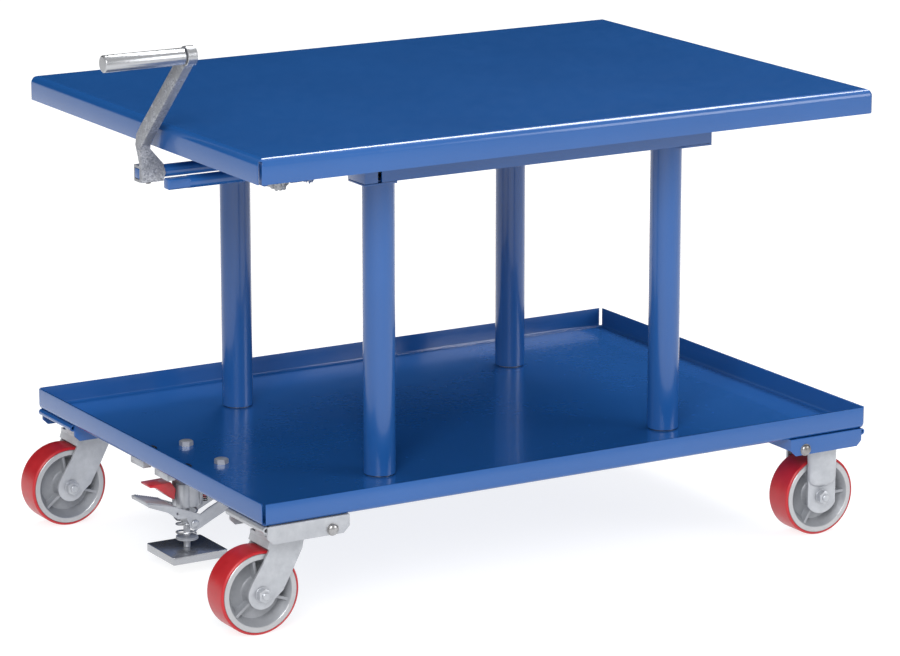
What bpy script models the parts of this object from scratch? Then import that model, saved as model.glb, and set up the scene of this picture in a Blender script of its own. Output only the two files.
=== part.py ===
"""Hand-cranked four-post lift table on casters, with a foot-operated floor lock.

Blender 4.5, metres, +Z up.  The floor is z = 0 and the model stands centred over the origin.
Left is the crank end (-X), right is the other end (+X), near is -Y and far is +Y.
Every piece is built about the middle of the table, and the empty "table_middle" carries them all.
"""
import math

import bmesh
import bpy
from mathutils import Matrix, Vector

# ---------------------------------------------------------------- driving dimensions (metres)
GAP = 0.0003                    # left between touching pieces
SHEET = 0.0032                  # formed steel sheet

TOP_LENGTH = 1.0578             # tabletop pan, of the 42 in x 30 in class
TOP_WIDTH = 0.7597
TOP_Z = 0.7074                  # working surface, lowered
TOP_FLANGE = 0.0372
TOP_BEND = 0.0115               # outside radius of the pan's bends
TOP_SHEET = 0.0034

DECK_LENGTH = 1.0578            # lower deck tray, its flanges turned up
DECK_WIDTH = 0.7597
DECK_BOTTOM = 0.1728
DECK_FLANGE = 0.0335
DECK_BEND = 0.0080
CORNER_RADIUS = 0.0068          # upright corners of both pans
CORNER_SLIT = 0.0030            # relief slit at each bent corner

POST_X = 0.2523                 # post centres
POST_Y = 0.2275
POST_RADIUS = 0.02415           # 1.9 in tube
POST_WALL = 0.0036
POST_BOTTOM = 0.1780
POST_TOP = 0.6257
POST_PLATE = 0.0030
GUIDE_RADIUS = 0.0200           # guide tube, a sliding fit in the post tube
GUIDE_WALL = 0.0035
GUIDE_TOP = 0.6000
LIFT_TRAVEL = 0.3050            # 12 in

SCREW_RADIUS = 0.0110
SCREW_LOW = 0.2050
SCREW_HIGH = 0.6920
NUT_LENGTH = 0.0400
CHAIN_Z = 0.6800                # underside of the lift chain's sprockets
CHAIN_THICK = 0.0070

RAIL_END = 0.3027               # half length of the side rails
RAIL_FACE = 0.2763              # outer face of the side rails, from the middle
RAIL_DEPTH = 0.0500
RAIL_BOTTOM = 0.6290
RAIL_TOP = TOP_Z - TOP_SHEET - GAP
CROSS_X = 0.1900
CROSS_WIDTH = 0.0500

CHAIN_PITCH = 0.0127
TEETH_BIG = 12
TEETH_SMALL = 8
FAST_Y = -0.1389                # input shafts: the near one and the one that the crank is on
SLOW_Y = -0.0500
SHAFT_Z = 0.6320
SHAFT_END = -0.5570             # of the slow shaft; the fast one ends a little sooner
FAST_END = -0.5540
SHAFT_RADIUS = 0.0095
SQUARE_SIDE = 0.0159
SLOW_SQUARE = 0.0410            # lengths of the two shafts' square ends
FAST_SQUARE = 0.0345
JACK_X = -0.2965                # upright shaft that drives the lift chain
INPUT_CHAIN_X = -0.3745         # left face of the input sprockets
MITRE_RADIUS = 0.0242
MITRE_APEX = 0.0245
BRACKET_FRONT = -0.4120
BRACKET_REAR = -0.3460

CRANK_THROW_Y = -0.1592         # grip axis from the shaft axis
CRANK_THROW_Z = 0.1980
ARM_THICK = 0.0140
GRIP_LENGTH = 0.1270
GRIP_RADIUS = 0.0124
STUD_RADIUS = 0.0060

WHEEL_RADIUS = 0.0635           # 5 in x 2 in class
WHEEL_WIDTH = 0.0500
CASTER_Y = 0.3200
SWIVEL_X = -0.4690
SWIVEL_TRAIL = 0.0468
RIGID_X = 0.4700
AXLE_RADIUS = 0.0060
PLATE_INNER = 0.3880            # caster plate, from the middle of the table outwards
PLATE_OUTER = 0.5280
PLATE_TOP = DECK_BOTTOM - GAP
PLATE_BOTTOM = 0.1463
PLATE_HALF = 0.0595
CROWN_TOP = 0.1450
FORK_SHEET = 0.0038
FORK_INNER = 0.0262             # half the space between a fork's legs

LOCK_X = -0.4600                # floor lock, on the table's long middle line
LOCK_STROKE = 0.0230
PAD_SIDE = 0.0920
PAD_TOP = 0.0350
PAD_THICK = 0.0120
BARREL_RADIUS = 0.0216
BARREL_BOTTOM = 0.1010
ROD_RADIUS = 0.0053
PIN_Z = 0.0777
LEVER_INNER = 0.0253
LEVER_OUTER = 0.0283
ANCHOR_X = -0.3880              # pin that the lock lever's slotted end rides on
ANCHOR_Z = 0.1100

GRIP_END = SHAFT_END - 0.0010 - GRIP_LENGTH
TABLE_X = -(GRIP_END + RIGID_X + WHEEL_RADIUS) / 2      # puts the middle of the whole object over the origin

ENDS = (("left", -1), ("right", 1))
SIDES = (("near", -1), ("far", 1))
CORNERS = [(side + "_" + end, sx, sy) for end, sx in ENDS for side, sy in SIDES]


# ---------------------------------------------------------------- materials
def make_material(name, colour, roughness, metallic):
    material = bpy.data.materials.new(name)
    material.use_nodes = True
    shader = material.node_tree.nodes["Principled BSDF"]
    shader.inputs["Base Color"].default_value = (*colour, 1.0)
    shader.inputs["Roughness"].default_value = roughness
    shader.inputs["Metallic"].default_value = metallic
    return material


# ---------------------------------------------------------------- mesh helpers
def arc(cx, cy, radius, start, end, steps):
    """Points along a circular arc, angles in degrees, both ends included."""
    points = []
    for i in range(steps + 1):
        angle = math.radians(start + (end - start) * i / steps)
        points.append((cx + radius * math.cos(angle), cy + radius * math.sin(angle)))
    return points


def finish_mesh(bm, name):
    bmesh.ops.remove_doubles(bm, verts=bm.verts, dist=1e-6)
    bmesh.ops.recalc_face_normals(bm, faces=bm.faces)
    mesh = bpy.data.meshes.new(name)
    bm.to_mesh(mesh)
    bm.free()
    return mesh


def lift_point(axis, u, v, w):
    """A point of an outline (u, v) at depth w along the named axis."""
    if axis == "X":
        return (w, u, v)
    if axis == "Y":
        return (u, w, v)
    return (u, v, w)


def prism(outline, low, high, axis="Z"):
    """A closed outline pushed out from low to high along an axis."""
    bm = bmesh.new()
    base = bm.faces.new([bm.verts.new(lift_point(axis, u, v, low)) for u, v in outline])
    raised = bmesh.ops.extrude_face_region(bm, geom=[base])["geom"]
    shift = Vector(lift_point(axis, 0.0, 0.0, high - low))
    bmesh.ops.translate(bm, verts=[e for e in raised if isinstance(e, bmesh.types.BMVert)], vec=shift)
    return finish_mesh(bm, "prism")


def box(x, y, z):
    """A box from three (low, high) pairs."""
    return prism([(x[0], y[0]), (x[1], y[0]), (x[1], y[1]), (x[0], y[1])], z[0], z[1])


def turned(profile, axis="Z", steps=20):
    """A closed (radius, height) profile spun about an axis; radius 0 is a pole."""
    bm = bmesh.new()
    rings = []
    for radius, height in profile:
        if radius < 1e-9:
            rings.append([bm.verts.new(lift_point(axis, 0.0, 0.0, height))])
            continue
        ring = []
        for i in range(steps):
            angle = 2 * math.pi * i / steps
            ring.append(bm.verts.new(lift_point(axis, radius * math.cos(angle), radius * math.sin(angle), height)))
        rings.append(ring)
    for one, two in zip(rings, rings[1:] + rings[:1]):
        if len(one) == 1 and len(two) == 1:
            continue
        for i in range(steps):
            j = (i + 1) % steps
            if len(one) == 1:
                bm.faces.new((one[0], two[i], two[j]))
            elif len(two) == 1:
                bm.faces.new((one[i], one[j], two[0]))
            else:
                bm.faces.new((one[i], one[j], two[j], two[i]))
    return finish_mesh(bm, "turned")


def rod(radius, low, high, axis="Z", steps=20):
    return turned([(0.0, low), (radius, low), (radius, high), (0.0, high)], axis, steps)


def tube(outer, inner, low, high, axis="Z", steps=24):
    return turned([(inner, low), (outer, low), (outer, high), (inner, high)], axis, steps)


def hexagon(across, low, high, axis="Z"):
    """A hexagonal bar with the given width across its flats."""
    return prism(arc(0.0, 0.0, across / math.sqrt(3), 30, 330, 5), low, high, axis)


def moved(mesh, x=0.0, y=0.0, z=0.0):
    mesh.transform(Matrix.Translation((x, y, z)))
    return mesh


def loft(sections):
    """A solid through a row of sections that have the same number of corners."""
    bm = bmesh.new()
    rows = [[bm.verts.new(corner) for corner in section] for section in sections]
    count = len(rows[0])
    for one, two in zip(rows, rows[1:]):
        for i in range(count):
            j = (i + 1) % count
            bm.faces.new((one[i], one[j], two[j], two[i]))
    bm.faces.new(rows[0])
    bm.faces.new(rows[-1])
    return finish_mesh(bm, "loft")


def boolean(base, tool, operation):
    """The exact union, difference or intersection of two meshes, as a new mesh."""
    target = bpy.data.objects.new("target", base)
    cutter = bpy.data.objects.new("cutter", tool)
    for obj in (target, cutter):
        bpy.context.scene.collection.objects.link(obj)
    modifier = target.modifiers.new("boolean", "BOOLEAN")
    modifier.operation = operation
    modifier.solver = "EXACT"
    modifier.object = cutter
    graph = bpy.context.evaluated_depsgraph_get()
    raw = bpy.data.meshes.new_from_object(target.evaluated_get(graph))
    for obj in (target, cutter):
        bpy.data.objects.remove(obj, do_unlink=True)
    bm = bmesh.new()
    bm.from_mesh(raw)
    bmesh.ops.dissolve_degenerate(bm, dist=2e-6, edges=bm.edges)
    return finish_mesh(bm, "boolean")


def united(*meshes):
    result = meshes[0]
    for mesh in meshes[1:]:
        result = boolean(result, mesh, "UNION")
    return result


def cut(base, *tools):
    for tool in tools:
        base = boolean(base, tool, "DIFFERENCE")
    return base


def place(name, mesh, material, parent, location=(0.0, 0.0, 0.0), smooth=True):
    """One named sub-part, standing at its location under its parent."""
    mesh.name = name
    mesh.materials.clear()
    mesh.materials.append(material)
    if smooth:
        mesh.shade_smooth()
        mesh.set_sharp_from_angle(angle=math.radians(35))
    obj = bpy.data.objects.new(name, mesh)
    bpy.context.scene.collection.objects.link(obj)
    obj.parent = parent
    obj.location = location
    return obj


def pivot(name, parent, location):
    """An empty on a joint axis."""
    empty = bpy.data.objects.new(name, None)
    bpy.context.scene.collection.objects.link(empty)
    empty.parent = parent
    empty.location = location
    return empty


# ---------------------------------------------------------------- formed sheet
def rounded_rectangle(length, width, radius, steps=3):
    points = []
    for sx, sy, start in ((1, 1, 0), (-1, 1, 90), (-1, -1, 180), (1, -1, 270)):
        points += arc(sx * (length / 2 - radius), sy * (width / 2 - radius), radius, start, start + 90, steps)
    return points


def rounded_slab(length, width, height, radius, corner, steps=5):
    """A slab with rounded upper edges and rounded upright corners."""
    sections = [[(x, y, 0.0) for x, y in rounded_rectangle(length, width, corner)]]
    for i in range(steps + 1):
        angle = math.pi / 2 * i / steps
        inset = radius * (1 - math.cos(angle))
        z = height - radius + radius * math.sin(angle)
        outline = rounded_rectangle(length - 2 * inset, width - 2 * inset, max(corner - inset, 0.0005))
        sections.append([(x, y, z) for x, y in outline])
    return loft(sections)


def formed_pan(length, width, height, sheet, radius):
    """A folded sheet pan, open below, with a relief slit at each corner; its top is at z = height."""
    outer = rounded_slab(length, width, height, radius, CORNER_RADIUS)
    inner = rounded_slab(length - 2 * sheet, width - 2 * sheet, height - sheet + 0.01, radius - sheet,
                         CORNER_RADIUS - sheet)
    shell = cut(outer, moved(inner, z=-0.01))
    reach = radius * 1.1
    for sx in (-1, 1):
        for sy in (-1, 1):
            slit = box((-reach, reach), (-CORNER_SLIT / 2, CORNER_SLIT / 2), (-0.01, height - sheet * 1.2))
            slit.transform(Matrix.Rotation(math.atan2(sy, sx), 4, "Z"))
            shell = cut(shell, moved(slit, sx * length / 2, sy * width / 2))
    return shell


def make_tabletop(paint, parent):
    pan = formed_pan(TOP_LENGTH, TOP_WIDTH, TOP_FLANGE, TOP_SHEET, TOP_BEND)
    return place("tabletop", pan, paint, parent, (0.0, 0.0, TOP_Z - TOP_FLANGE))


def make_deck(paint, parent):
    tray = formed_pan(DECK_LENGTH, DECK_WIDTH, DECK_FLANGE, SHEET, DECK_BEND)
    tray.transform(Matrix.Rotation(math.pi, 4, "X"))
    return place("deck_tray", tray, paint, parent, (0.0, 0.0, DECK_BOTTOM + DECK_FLANGE))


# ---------------------------------------------------------------- frame under the tabletop
def make_side_rail(side, sy, paint, parent):
    """A channel with closed ends, notched round the two screws and slotted near its left end."""
    face = (-RAIL_FACE, -RAIL_FACE + RAIL_DEPTH)
    rail = box((-RAIL_END, RAIL_END), face, (RAIL_BOTTOM, RAIL_TOP))
    hollow = box((SHEET - RAIL_END, RAIL_END - SHEET), (face[0] + SHEET, face[1] + 0.01),
                 (RAIL_BOTTOM + SHEET, RAIL_TOP - SHEET))
    rail = cut(rail, hollow)
    for sx in (-1, 1):
        notch = rod(0.0270, RAIL_BOTTOM - 0.01, RAIL_BOTTOM + 0.01)
        rail = cut(rail, moved(notch, sx * POST_X, -POST_Y))
    slot_x = sy * 0.2770
    slot = box((slot_x - 0.0033, slot_x + 0.0033), (face[0] - 0.01, face[0] + SHEET + 0.002),
               (RAIL_BOTTOM - 0.01, RAIL_BOTTOM + 0.0164))
    rail = cut(rail, slot)
    if sy > 0:
        rail.transform(Matrix.Rotation(math.pi, 4, "Z"))
    return place("side_rail_" + side, rail, paint, parent)


def make_cross_member(end, sx, paint, parent):
    """A channel between the rails, its web towards the middle."""
    half = RAIL_FACE - RAIL_DEPTH - GAP
    web = sx * (CROSS_X - CROSS_WIDTH / 2)
    lip = sx * (CROSS_X + CROSS_WIDTH / 2)
    channel = box((min(web, lip), max(web, lip)), (-half, half), (RAIL_BOTTOM, RAIL_TOP))
    inner = sorted((web + sx * SHEET, lip + sx * 0.01))
    channel = cut(channel, box(inner, (-half - 0.01, half + 0.01), (RAIL_BOTTOM + SHEET, RAIL_TOP - SHEET)))
    return place("cross_member_" + end, channel, paint, parent)


def make_post_tube(corner, sx, sy, paint, parent):
    """The outer tube of a post with its welded top plate, two corners of the plate cut off."""
    tube_mesh = tube(POST_RADIUS, POST_RADIUS - POST_WALL, POST_BOTTOM, POST_TOP + 0.001)
    outer_x = RAIL_END - POST_X
    outer_y = RAIL_FACE - POST_Y
    inner_x, inner_y = 0.0245, 0.0480
    outline = [(outer_x, outer_y), (-0.0040, outer_y), (-inner_x, 0.0140), (-inner_x, -inner_y),
               (0.0220, -inner_y), (outer_x, 0.0)]
    outline = [(sx * u, sy * v) for u, v in outline]
    plate = prism(outline, POST_TOP, POST_TOP + POST_PLATE)
    plate = cut(plate, rod(0.0122, POST_TOP - 0.01, POST_TOP + 0.01))
    return place("post_tube_" + corner, united(plate, tube_mesh), paint, parent, (sx * POST_X, sy * POST_Y, 0.0))


# ---------------------------------------------------------------- lifting gear
def pitch_radius(teeth):
    return CHAIN_PITCH / (2 * math.sin(math.pi / teeth))


def sprocket_outline(teeth):
    """A chain wheel's outline, four points to a tooth, its tips just inside the chain."""
    tip = pitch_radius(teeth) + 0.0002
    root = tip - 0.0045
    outline = []
    for i in range(teeth):
        for fraction, radius in ((0.0, root), (0.30, root), (0.52, tip), (0.78, tip)):
            angle = 2 * math.pi * (i + fraction) / teeth
            outline.append((radius * math.cos(angle), radius * math.sin(angle)))
    return outline


def make_screw_sprocket(corner, sx, sy, steel, parent):
    """The chain wheel on a lifting screw, its hub downwards."""
    wheel = prism(sprocket_outline(TEETH_BIG), CHAIN_Z, CHAIN_Z + CHAIN_THICK)
    hub = rod(SCREW_RADIUS + 0.0055, CHAIN_Z - 0.0050, CHAIN_Z + CHAIN_THICK)
    wheel = cut(united(wheel, hub), rod(SCREW_RADIUS + GAP, CHAIN_Z - 0.05, CHAIN_Z + 0.05))
    return place("screw_sprocket_" + corner, wheel, steel, parent, (sx * POST_X, sy * POST_Y, 0.0))


def hull(points):
    """Convex outline round a set of points, anticlockwise."""
    points = sorted(set(points))
    chains = []
    for ordered in (points, points[::-1]):
        chain = []
        for p in ordered:
            while len(chain) > 1:
                a, b = chain[-2], chain[-1]
                if (b[0] - a[0]) * (p[1] - a[1]) - (b[1] - a[1]) * (p[0] - a[0]) > 1e-12:
                    break
                chain.pop()
            chain.append(p)
        chains.append(chain[:-1])
    return chains[0] + chains[1]


def chain_loop(wheels, low, high, axis):
    """A closed chain round some wheels, each (u, v, teeth), as a plain band."""
    rims = []
    for extra in (0.0060, 0.0006):
        points = []
        for u, v, teeth in wheels:
            points += arc(u, v, pitch_radius(teeth) + extra, 0, 345, 23)
        rims.append(hull(points))
    band = prism(rims[0], low, high, axis)
    return cut(band, prism(rims[1], low - 0.01, high + 0.01, axis))


def make_screw(corner, sx, sy, steel, parent):
    """A lifting screw, its collar standing on the thrust bearing."""
    profile = [(0.0, SCREW_LOW), (SCREW_RADIUS - 0.002, SCREW_LOW), (SCREW_RADIUS, SCREW_LOW + 0.002),
               (SCREW_RADIUS, 0.6413), (0.0180, 0.6413), (0.0180, 0.6490), (SCREW_RADIUS, 0.6490),
               (SCREW_RADIUS, SCREW_HIGH), (0.0, SCREW_HIGH)]
    screw = turned(profile, "Z", 16)
    return place("lift_screw_" + corner, screw, steel, parent, (sx * POST_X, sy * POST_Y, 0.0))


def make_bearing(corner, sx, sy, steel, parent):
    bearing = tube(0.0215, 0.0116, 0.6290, 0.6410, steps=20)
    return place("thrust_bearing_" + corner, bearing, steel, parent, (sx * POST_X, sy * POST_Y, 0.0))


def make_guide_tube(corner, sx, sy, steel, parent):
    """The inner tube of a post, on a foot ring that is welded to the deck."""
    low = DECK_BOTTOM + SHEET + GAP
    inner = GUIDE_RADIUS - GUIDE_WALL
    guide = tube(GUIDE_RADIUS, inner, low, GUIDE_TOP)
    return place("guide_tube_" + corner, guide, steel, parent, (sx * POST_X, sy * POST_Y, 0.0))


def make_nut(corner, sx, sy, bronze, parent):
    """The nut that sits in the head of a guide tube."""
    spigot = GUIDE_RADIUS - GUIDE_WALL - GAP
    top = GUIDE_TOP + 0.0060
    profile = [(SCREW_RADIUS + GAP, GUIDE_TOP - NUT_LENGTH), (spigot, GUIDE_TOP - NUT_LENGTH),
               (spigot, GUIDE_TOP + GAP), (GUIDE_RADIUS - 0.0005, GUIDE_TOP + GAP),
               (GUIDE_RADIUS - 0.0005, top), (SCREW_RADIUS + GAP, top)]
    return place("lift_nut_" + corner, turned(profile, steps=24), bronze, parent, (sx * POST_X, sy * POST_Y, 0.0))


# ---------------------------------------------------------------- input drive and crank
def mitre_wheel(axis, large, small, direction):
    """A toothed cone: its large end at large, its small end at small, along an axis."""
    teeth = 14
    bm = bmesh.new()
    rings = []
    for height, scale in ((large, 1.0), (small, 0.56)):
        ring = []
        for i in range(teeth):
            for fraction, radius in ((0.0, 0.85), (0.3, 0.85), (0.5, 1.0), (0.8, 1.0)):
                angle = 2 * math.pi * (i + fraction) / teeth
                r = MITRE_RADIUS * radius * scale
                ring.append(bm.verts.new(lift_point(axis, r * math.cos(angle), r * math.sin(angle), height)))
        rings.append(ring)
    count = len(rings[0])
    for i in range(count):
        j = (i + 1) % count
        bm.faces.new((rings[0][i], rings[0][j], rings[1][j], rings[1][i]))
    bm.faces.new(rings[0])
    bm.faces.new(rings[1])
    hub = rod(0.0150, large - 0.0068 * direction, large + 0.0010 * direction, axis)
    return united(finish_mesh(bm, "mitre"), hub)


def shaft_mesh(outer_end, square_length, inner_end):
    """A round shaft with a square milled on its outer end."""
    half = SQUARE_SIDE / 2
    bevel = 0.0020
    square = [(-half + bevel, -half), (half - bevel, -half), (half, -half + bevel), (half, half - bevel),
              (half - bevel, half), (-half + bevel, half), (-half, half - bevel), (-half, -half + bevel)]
    square_end = prism(square, outer_end, outer_end + square_length + 0.001, "X")
    return united(rod(SHAFT_RADIUS, outer_end + square_length, inner_end, "X"), square_end)


def make_fast_shaft(paint, parent):
    """The near input shaft: chain wheel keyed on, and the mitre pinion on its inner end."""
    large = JACK_X - MITRE_APEX
    wheel = prism(sprocket_outline(TEETH_BIG), INPUT_CHAIN_X, INPUT_CHAIN_X + CHAIN_THICK, "X")
    shaft = united(shaft_mesh(FAST_END, FAST_SQUARE, large + 0.005), mitre_wheel("X", large, large + 0.0105, 1), wheel)
    return place("fast_input_shaft", shaft, paint, parent)


def make_slow_shaft(paint, parent):
    """The input shaft that carries the crank, with its small chain wheel keyed on."""
    shaft = shaft_mesh(SHAFT_END, SLOW_SQUARE, BRACKET_REAR + 0.0150)
    wheel = prism(sprocket_outline(TEETH_SMALL), INPUT_CHAIN_X, INPUT_CHAIN_X + CHAIN_THICK, "X")
    return place("slow_input_shaft", united(shaft, wheel), paint, parent)


def make_jack_shaft(paint, parent):
    """The upright shaft: mitre wheel below, chain wheel above."""
    large = MITRE_APEX
    wheel = mitre_wheel("Z", large, large - 0.0105, -1)
    shaft = rod(0.0080, large - 0.0050, RAIL_TOP - SHAFT_Z - GAP, "Z")
    top = CHAIN_Z - SHAFT_Z
    sprocket = prism(sprocket_outline(TEETH_BIG), top, top + CHAIN_THICK)
    return place("jack_shaft", united(wheel, shaft, sprocket), paint, parent)


def make_shaft_bracket(paint, parent):
    """The hanger that carries both input shafts and the upright shaft."""
    low, high = FAST_Y - 0.0340, SLOW_Y + 0.0340
    plate = 0.0060
    top = RAIL_TOP
    bottom = SHAFT_Z - 0.0130
    front, rear = BRACKET_FRONT, BRACKET_REAR
    outline = [(front, bottom), (front + plate, bottom), (front + plate, top - plate), (rear, top - plate),
               (rear, bottom), (rear + plate, bottom), (rear + plate, top), (front, top)]
    shelf = box((rear + 0.0010, JACK_X + 0.0200), (low + 0.0020, FAST_Y + 0.0240), (0.6640, 0.6700))
    bracket = united(prism([(x, z) for x, z in outline], low, high, "Y"), shelf)
    for y in (FAST_Y, SLOW_Y):
        boss = rod(0.0200, BRACKET_REAR - 0.0060, BRACKET_REAR + 0.0120, "X")
        bracket = united(bracket, moved(boss, 0.0, y, SHAFT_Z))
    for y in (FAST_Y, SLOW_Y):
        bore = rod(SHAFT_RADIUS + GAP, BRACKET_FRONT - 0.01, BRACKET_REAR + 0.03, "X")
        bracket = cut(bracket, moved(bore, 0.0, y, SHAFT_Z))
    bracket = cut(bracket, moved(rod(0.0083, 0.6500, 0.6900), JACK_X, FAST_Y))
    return place("shaft_bracket", bracket, paint, parent)


def make_crank_handle(cast, parent):
    """Square socket, flat neck that flares beside it, bent arm, eye and grip stud.

    Sections run up the neck and the arm: (y, z, lean in degrees, width along X, thickness).
    """
    stations = [(-0.0122, -0.0120, 0, 0.0355, 0.0064), (-0.0122, 0.0000, 0, 0.0395, 0.0064),
                (-0.0115, 0.0150, 0, 0.0350, 0.0070), (-0.0085, 0.0280, 0, 0.0240, 0.0110),
                (-0.0055, 0.0400, 15, 0.0155, 0.0190), (-0.0095, 0.0520, 36, ARM_THICK, 0.0230),
                (-0.0260, 0.0690, 45, ARM_THICK, 0.0230),
                (CRANK_THROW_Y + 0.0060, CRANK_THROW_Z - 0.0058, 46, ARM_THICK, 0.0220)]
    sections = []
    for y, z, lean, width, thick in stations:
        side = Vector((0.0, math.cos(math.radians(lean)), math.sin(math.radians(lean)))) * thick / 2
        middle = Vector((0.0, y, z))
        near, far = middle - side, middle + side
        reach = Vector((width, 0.0, 0.0))
        sections.append([near, near + reach, far + reach, far])
    arm = loft(sections)
    half = 0.0123
    socket = box((0.0, 0.0392), (-0.0100, half - 0.0030), (-half, half))
    eye = moved(rod(0.0146, 0.0, 0.0150, "X"), 0.0, CRANK_THROW_Y, CRANK_THROW_Z)
    stud = moved(rod(STUD_RADIUS, -0.1180, 0.0050, "X"), 0.0, CRANK_THROW_Y, CRANK_THROW_Z)
    handle = united(arm, socket, eye, stud)
    hole = SQUARE_SIDE / 2 + GAP
    handle = cut(handle, box((-0.01, 0.06), (-hole, hole), (-hole, hole)))
    return place("crank_handle", handle, cast, parent)


def make_crank_grip(steel, parent):
    """The revolving grip, a tube closed at its outer end."""
    bore = STUD_RADIUS + 0.0004
    r = GRIP_RADIUS
    low = -0.0010 - GRIP_LENGTH
    profile = [(0.0, low), (r - 0.0020, low), (r - 0.0006, low + 0.0006), (r, low + 0.0020), (r, -0.0025),
               (r - 0.0015, -0.0010), (bore, -0.0010), (bore, low + 0.0060), (0.0, low + 0.0060)]
    return place("crank_grip", turned(profile, "X"), steel, parent)


# ---------------------------------------------------------------- casters
def make_caster_plate(corner, sx, sy, material, parent):
    """A pressed plate: side flanges turned down, outer edge curled, cap nuts on the flanges.

    It is built for the right end, u running outwards, and turned round for the left end.
    """
    top = PLATE_TOP
    flange = [(PLATE_INNER, top), (PLATE_INNER, PLATE_BOTTOM + 0.0100), (PLATE_INNER + 0.0100, PLATE_BOTTOM),
              (PLATE_OUTER - 0.0180, PLATE_BOTTOM), (PLATE_OUTER - 0.0080, top - 0.0040), (PLATE_OUTER - 0.0080, top)]
    plate = box((PLATE_INNER, PLATE_OUTER - 0.0040), (-PLATE_HALF, PLATE_HALF), (top - 0.0030, top))
    curl = moved(rod(0.0050, -PLATE_HALF, PLATE_HALF, "Y", 12), PLATE_OUTER - 0.0046, 0.0, top - 0.0050)
    plate = united(plate, curl)
    for side in (-1, 1):
        faces = sorted((side * PLATE_HALF, side * (PLATE_HALF - 0.0030)))
        plate = united(plate, prism(flange, faces[0], faces[1], "Y"))
        dome = [(0.0, PLATE_HALF - 0.0010), (0.0080, PLATE_HALF - 0.0010), (0.0078, PLATE_HALF + 0.0018),
                (0.0055, PLATE_HALF + 0.0046), (0.0, PLATE_HALF + 0.0060)]
        nut = turned([(r, side * h) for r, h in dome], "Y", 12)
        plate = united(plate, moved(nut, PLATE_INNER + 0.0280, 0.0, 0.1537))
    if sx < 0:
        race = tube(0.0380, 0.0085, CROWN_TOP + 0.0108, top - 0.0020)
        plate = united(plate, moved(race, -SWIVEL_X, 0.0))
        plate = cut(plate, moved(rod(0.0085, 0.10, 0.20), -SWIVEL_X, 0.0))
        plate.transform(Matrix.Rotation(math.pi, 4, "Z"))
    return place("caster_plate_" + corner, plate, material, parent, (0.0, sy * CASTER_Y, 0.0))


def swivel_leg():
    """Outline of a raked fork leg, from the kingpin's axis at ground level."""
    axle = (-SWIVEL_TRAIL, WHEEL_RADIUS)
    outline = [(0.0230, CROWN_TOP), (0.0190, 0.1240), (0.0050, 0.0970), (-0.0130, 0.0650)]
    outline += arc(axle[0], axle[1], 0.0225, -25, -205, 8)
    outline += [(-0.0640, 0.0800), (-0.0440, 0.1110), (-0.0355, 0.1270), (-0.0330, CROWN_TOP)]
    return outline


def make_swivel_fork(corner, sy, zinc, parent):
    """A raked fork under its lower race, with the kingpin."""
    outer = FORK_INNER + FORK_SHEET
    left, right = -0.0345, 0.0225
    crown = box((left, right), (-outer, outer), (CROWN_TOP - 0.0050, CROWN_TOP))
    disc = rod(0.0345, CROWN_TOP - 0.0050, CROWN_TOP, "Z", 24)
    race = tube(0.0370, 0.0060, CROWN_TOP - 0.0010, CROWN_TOP + 0.0104)
    fork = united(crown, disc, race)
    for side in (-1, 1):
        faces = sorted((side * FORK_INNER, side * outer))
        fork = united(fork, prism(swivel_leg(), faces[0], faces[1], "Y"))
    kingpin = turned([(0.0, 0.1360), (0.0120, 0.1360), (0.0120, 0.1402), (0.0078, 0.1402),
                      (0.0078, PLATE_TOP - 0.0006), (0.0, PLATE_TOP - 0.0006)], "Z", 16)
    fork = united(fork, kingpin)
    bore = moved(rod(AXLE_RADIUS + GAP, -0.05, 0.05, "Y"), -SWIVEL_TRAIL, 0.0, WHEEL_RADIUS)
    return place("caster_fork_" + corner, cut(fork, bore), zinc, parent)


def make_rigid_fork(corner, sy, zinc, parent):
    """A straight fork: each leg has a half-round rib pressed down to just above the axle."""
    outer = FORK_INNER + FORK_SHEET
    half = 0.0260
    top = PLATE_TOP - 0.0030 - GAP
    crown = box((-half - 0.0120, half + 0.0120), (-outer - 0.0130, outer + 0.0130), (top - 0.0045, top))
    leg = [(-half, top), (half, top)] + arc(0.0, 0.0670, 0.0305, -32, -148, 8)
    fork = crown
    for side in (-1, 1):
        faces = sorted((side * FORK_INNER, side * outer))
        fork = united(fork, prism(leg, faces[0], faces[1], "Y"))
        rib = [(half, outer - 0.0010), (half, outer)]
        rib += arc(0.0, outer - 0.0260, 0.0365, 45, 135, 10)
        rib += [(-half, outer), (-half, outer - 0.0010)]
        rib_mesh = prism([(u, side * v) for u, v in rib], 0.0805, top - 0.0010)
        fork = united(fork, rib_mesh)
    bore = moved(rod(AXLE_RADIUS + GAP, -0.05, 0.05, "Y"), 0.0, 0.0, WHEEL_RADIUS)
    return place("caster_fork_" + corner, cut(fork, bore), zinc, parent)


def make_wheel(corner, poly, parent):
    """A cast wheel with its bonded tread; the web stands back from both faces."""
    half = WHEEL_WIDTH / 2
    bore = AXLE_RADIUS + 0.0004
    side = [(bore, half + 0.0010), (0.0190, half + 0.0010), (0.0200, half - 0.0130), (0.0480, half - 0.0160),
            (0.0500, half - 0.0020), (0.0600, half - 0.0010), (WHEEL_RADIUS, half - 0.0070)]
    profile = side + [(r, -y) for r, y in side[::-1]]
    return place("wheel_" + corner, turned(profile, "Y", 30), poly, parent)


def make_axle(corner, zinc, parent, location):
    """An axle bolt with its head and nut."""
    outer = FORK_INNER + FORK_SHEET + GAP
    bolt = rod(AXLE_RADIUS, -outer - 0.0130, outer + 0.0010, "Y", 16)
    head = hexagon(0.0190, outer, outer + 0.0080, "Y")
    nut = hexagon(0.0190, -outer - 0.0100, -outer, "Y")
    return place("axle_" + corner, united(bolt, head, nut), zinc, parent, location)


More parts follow.
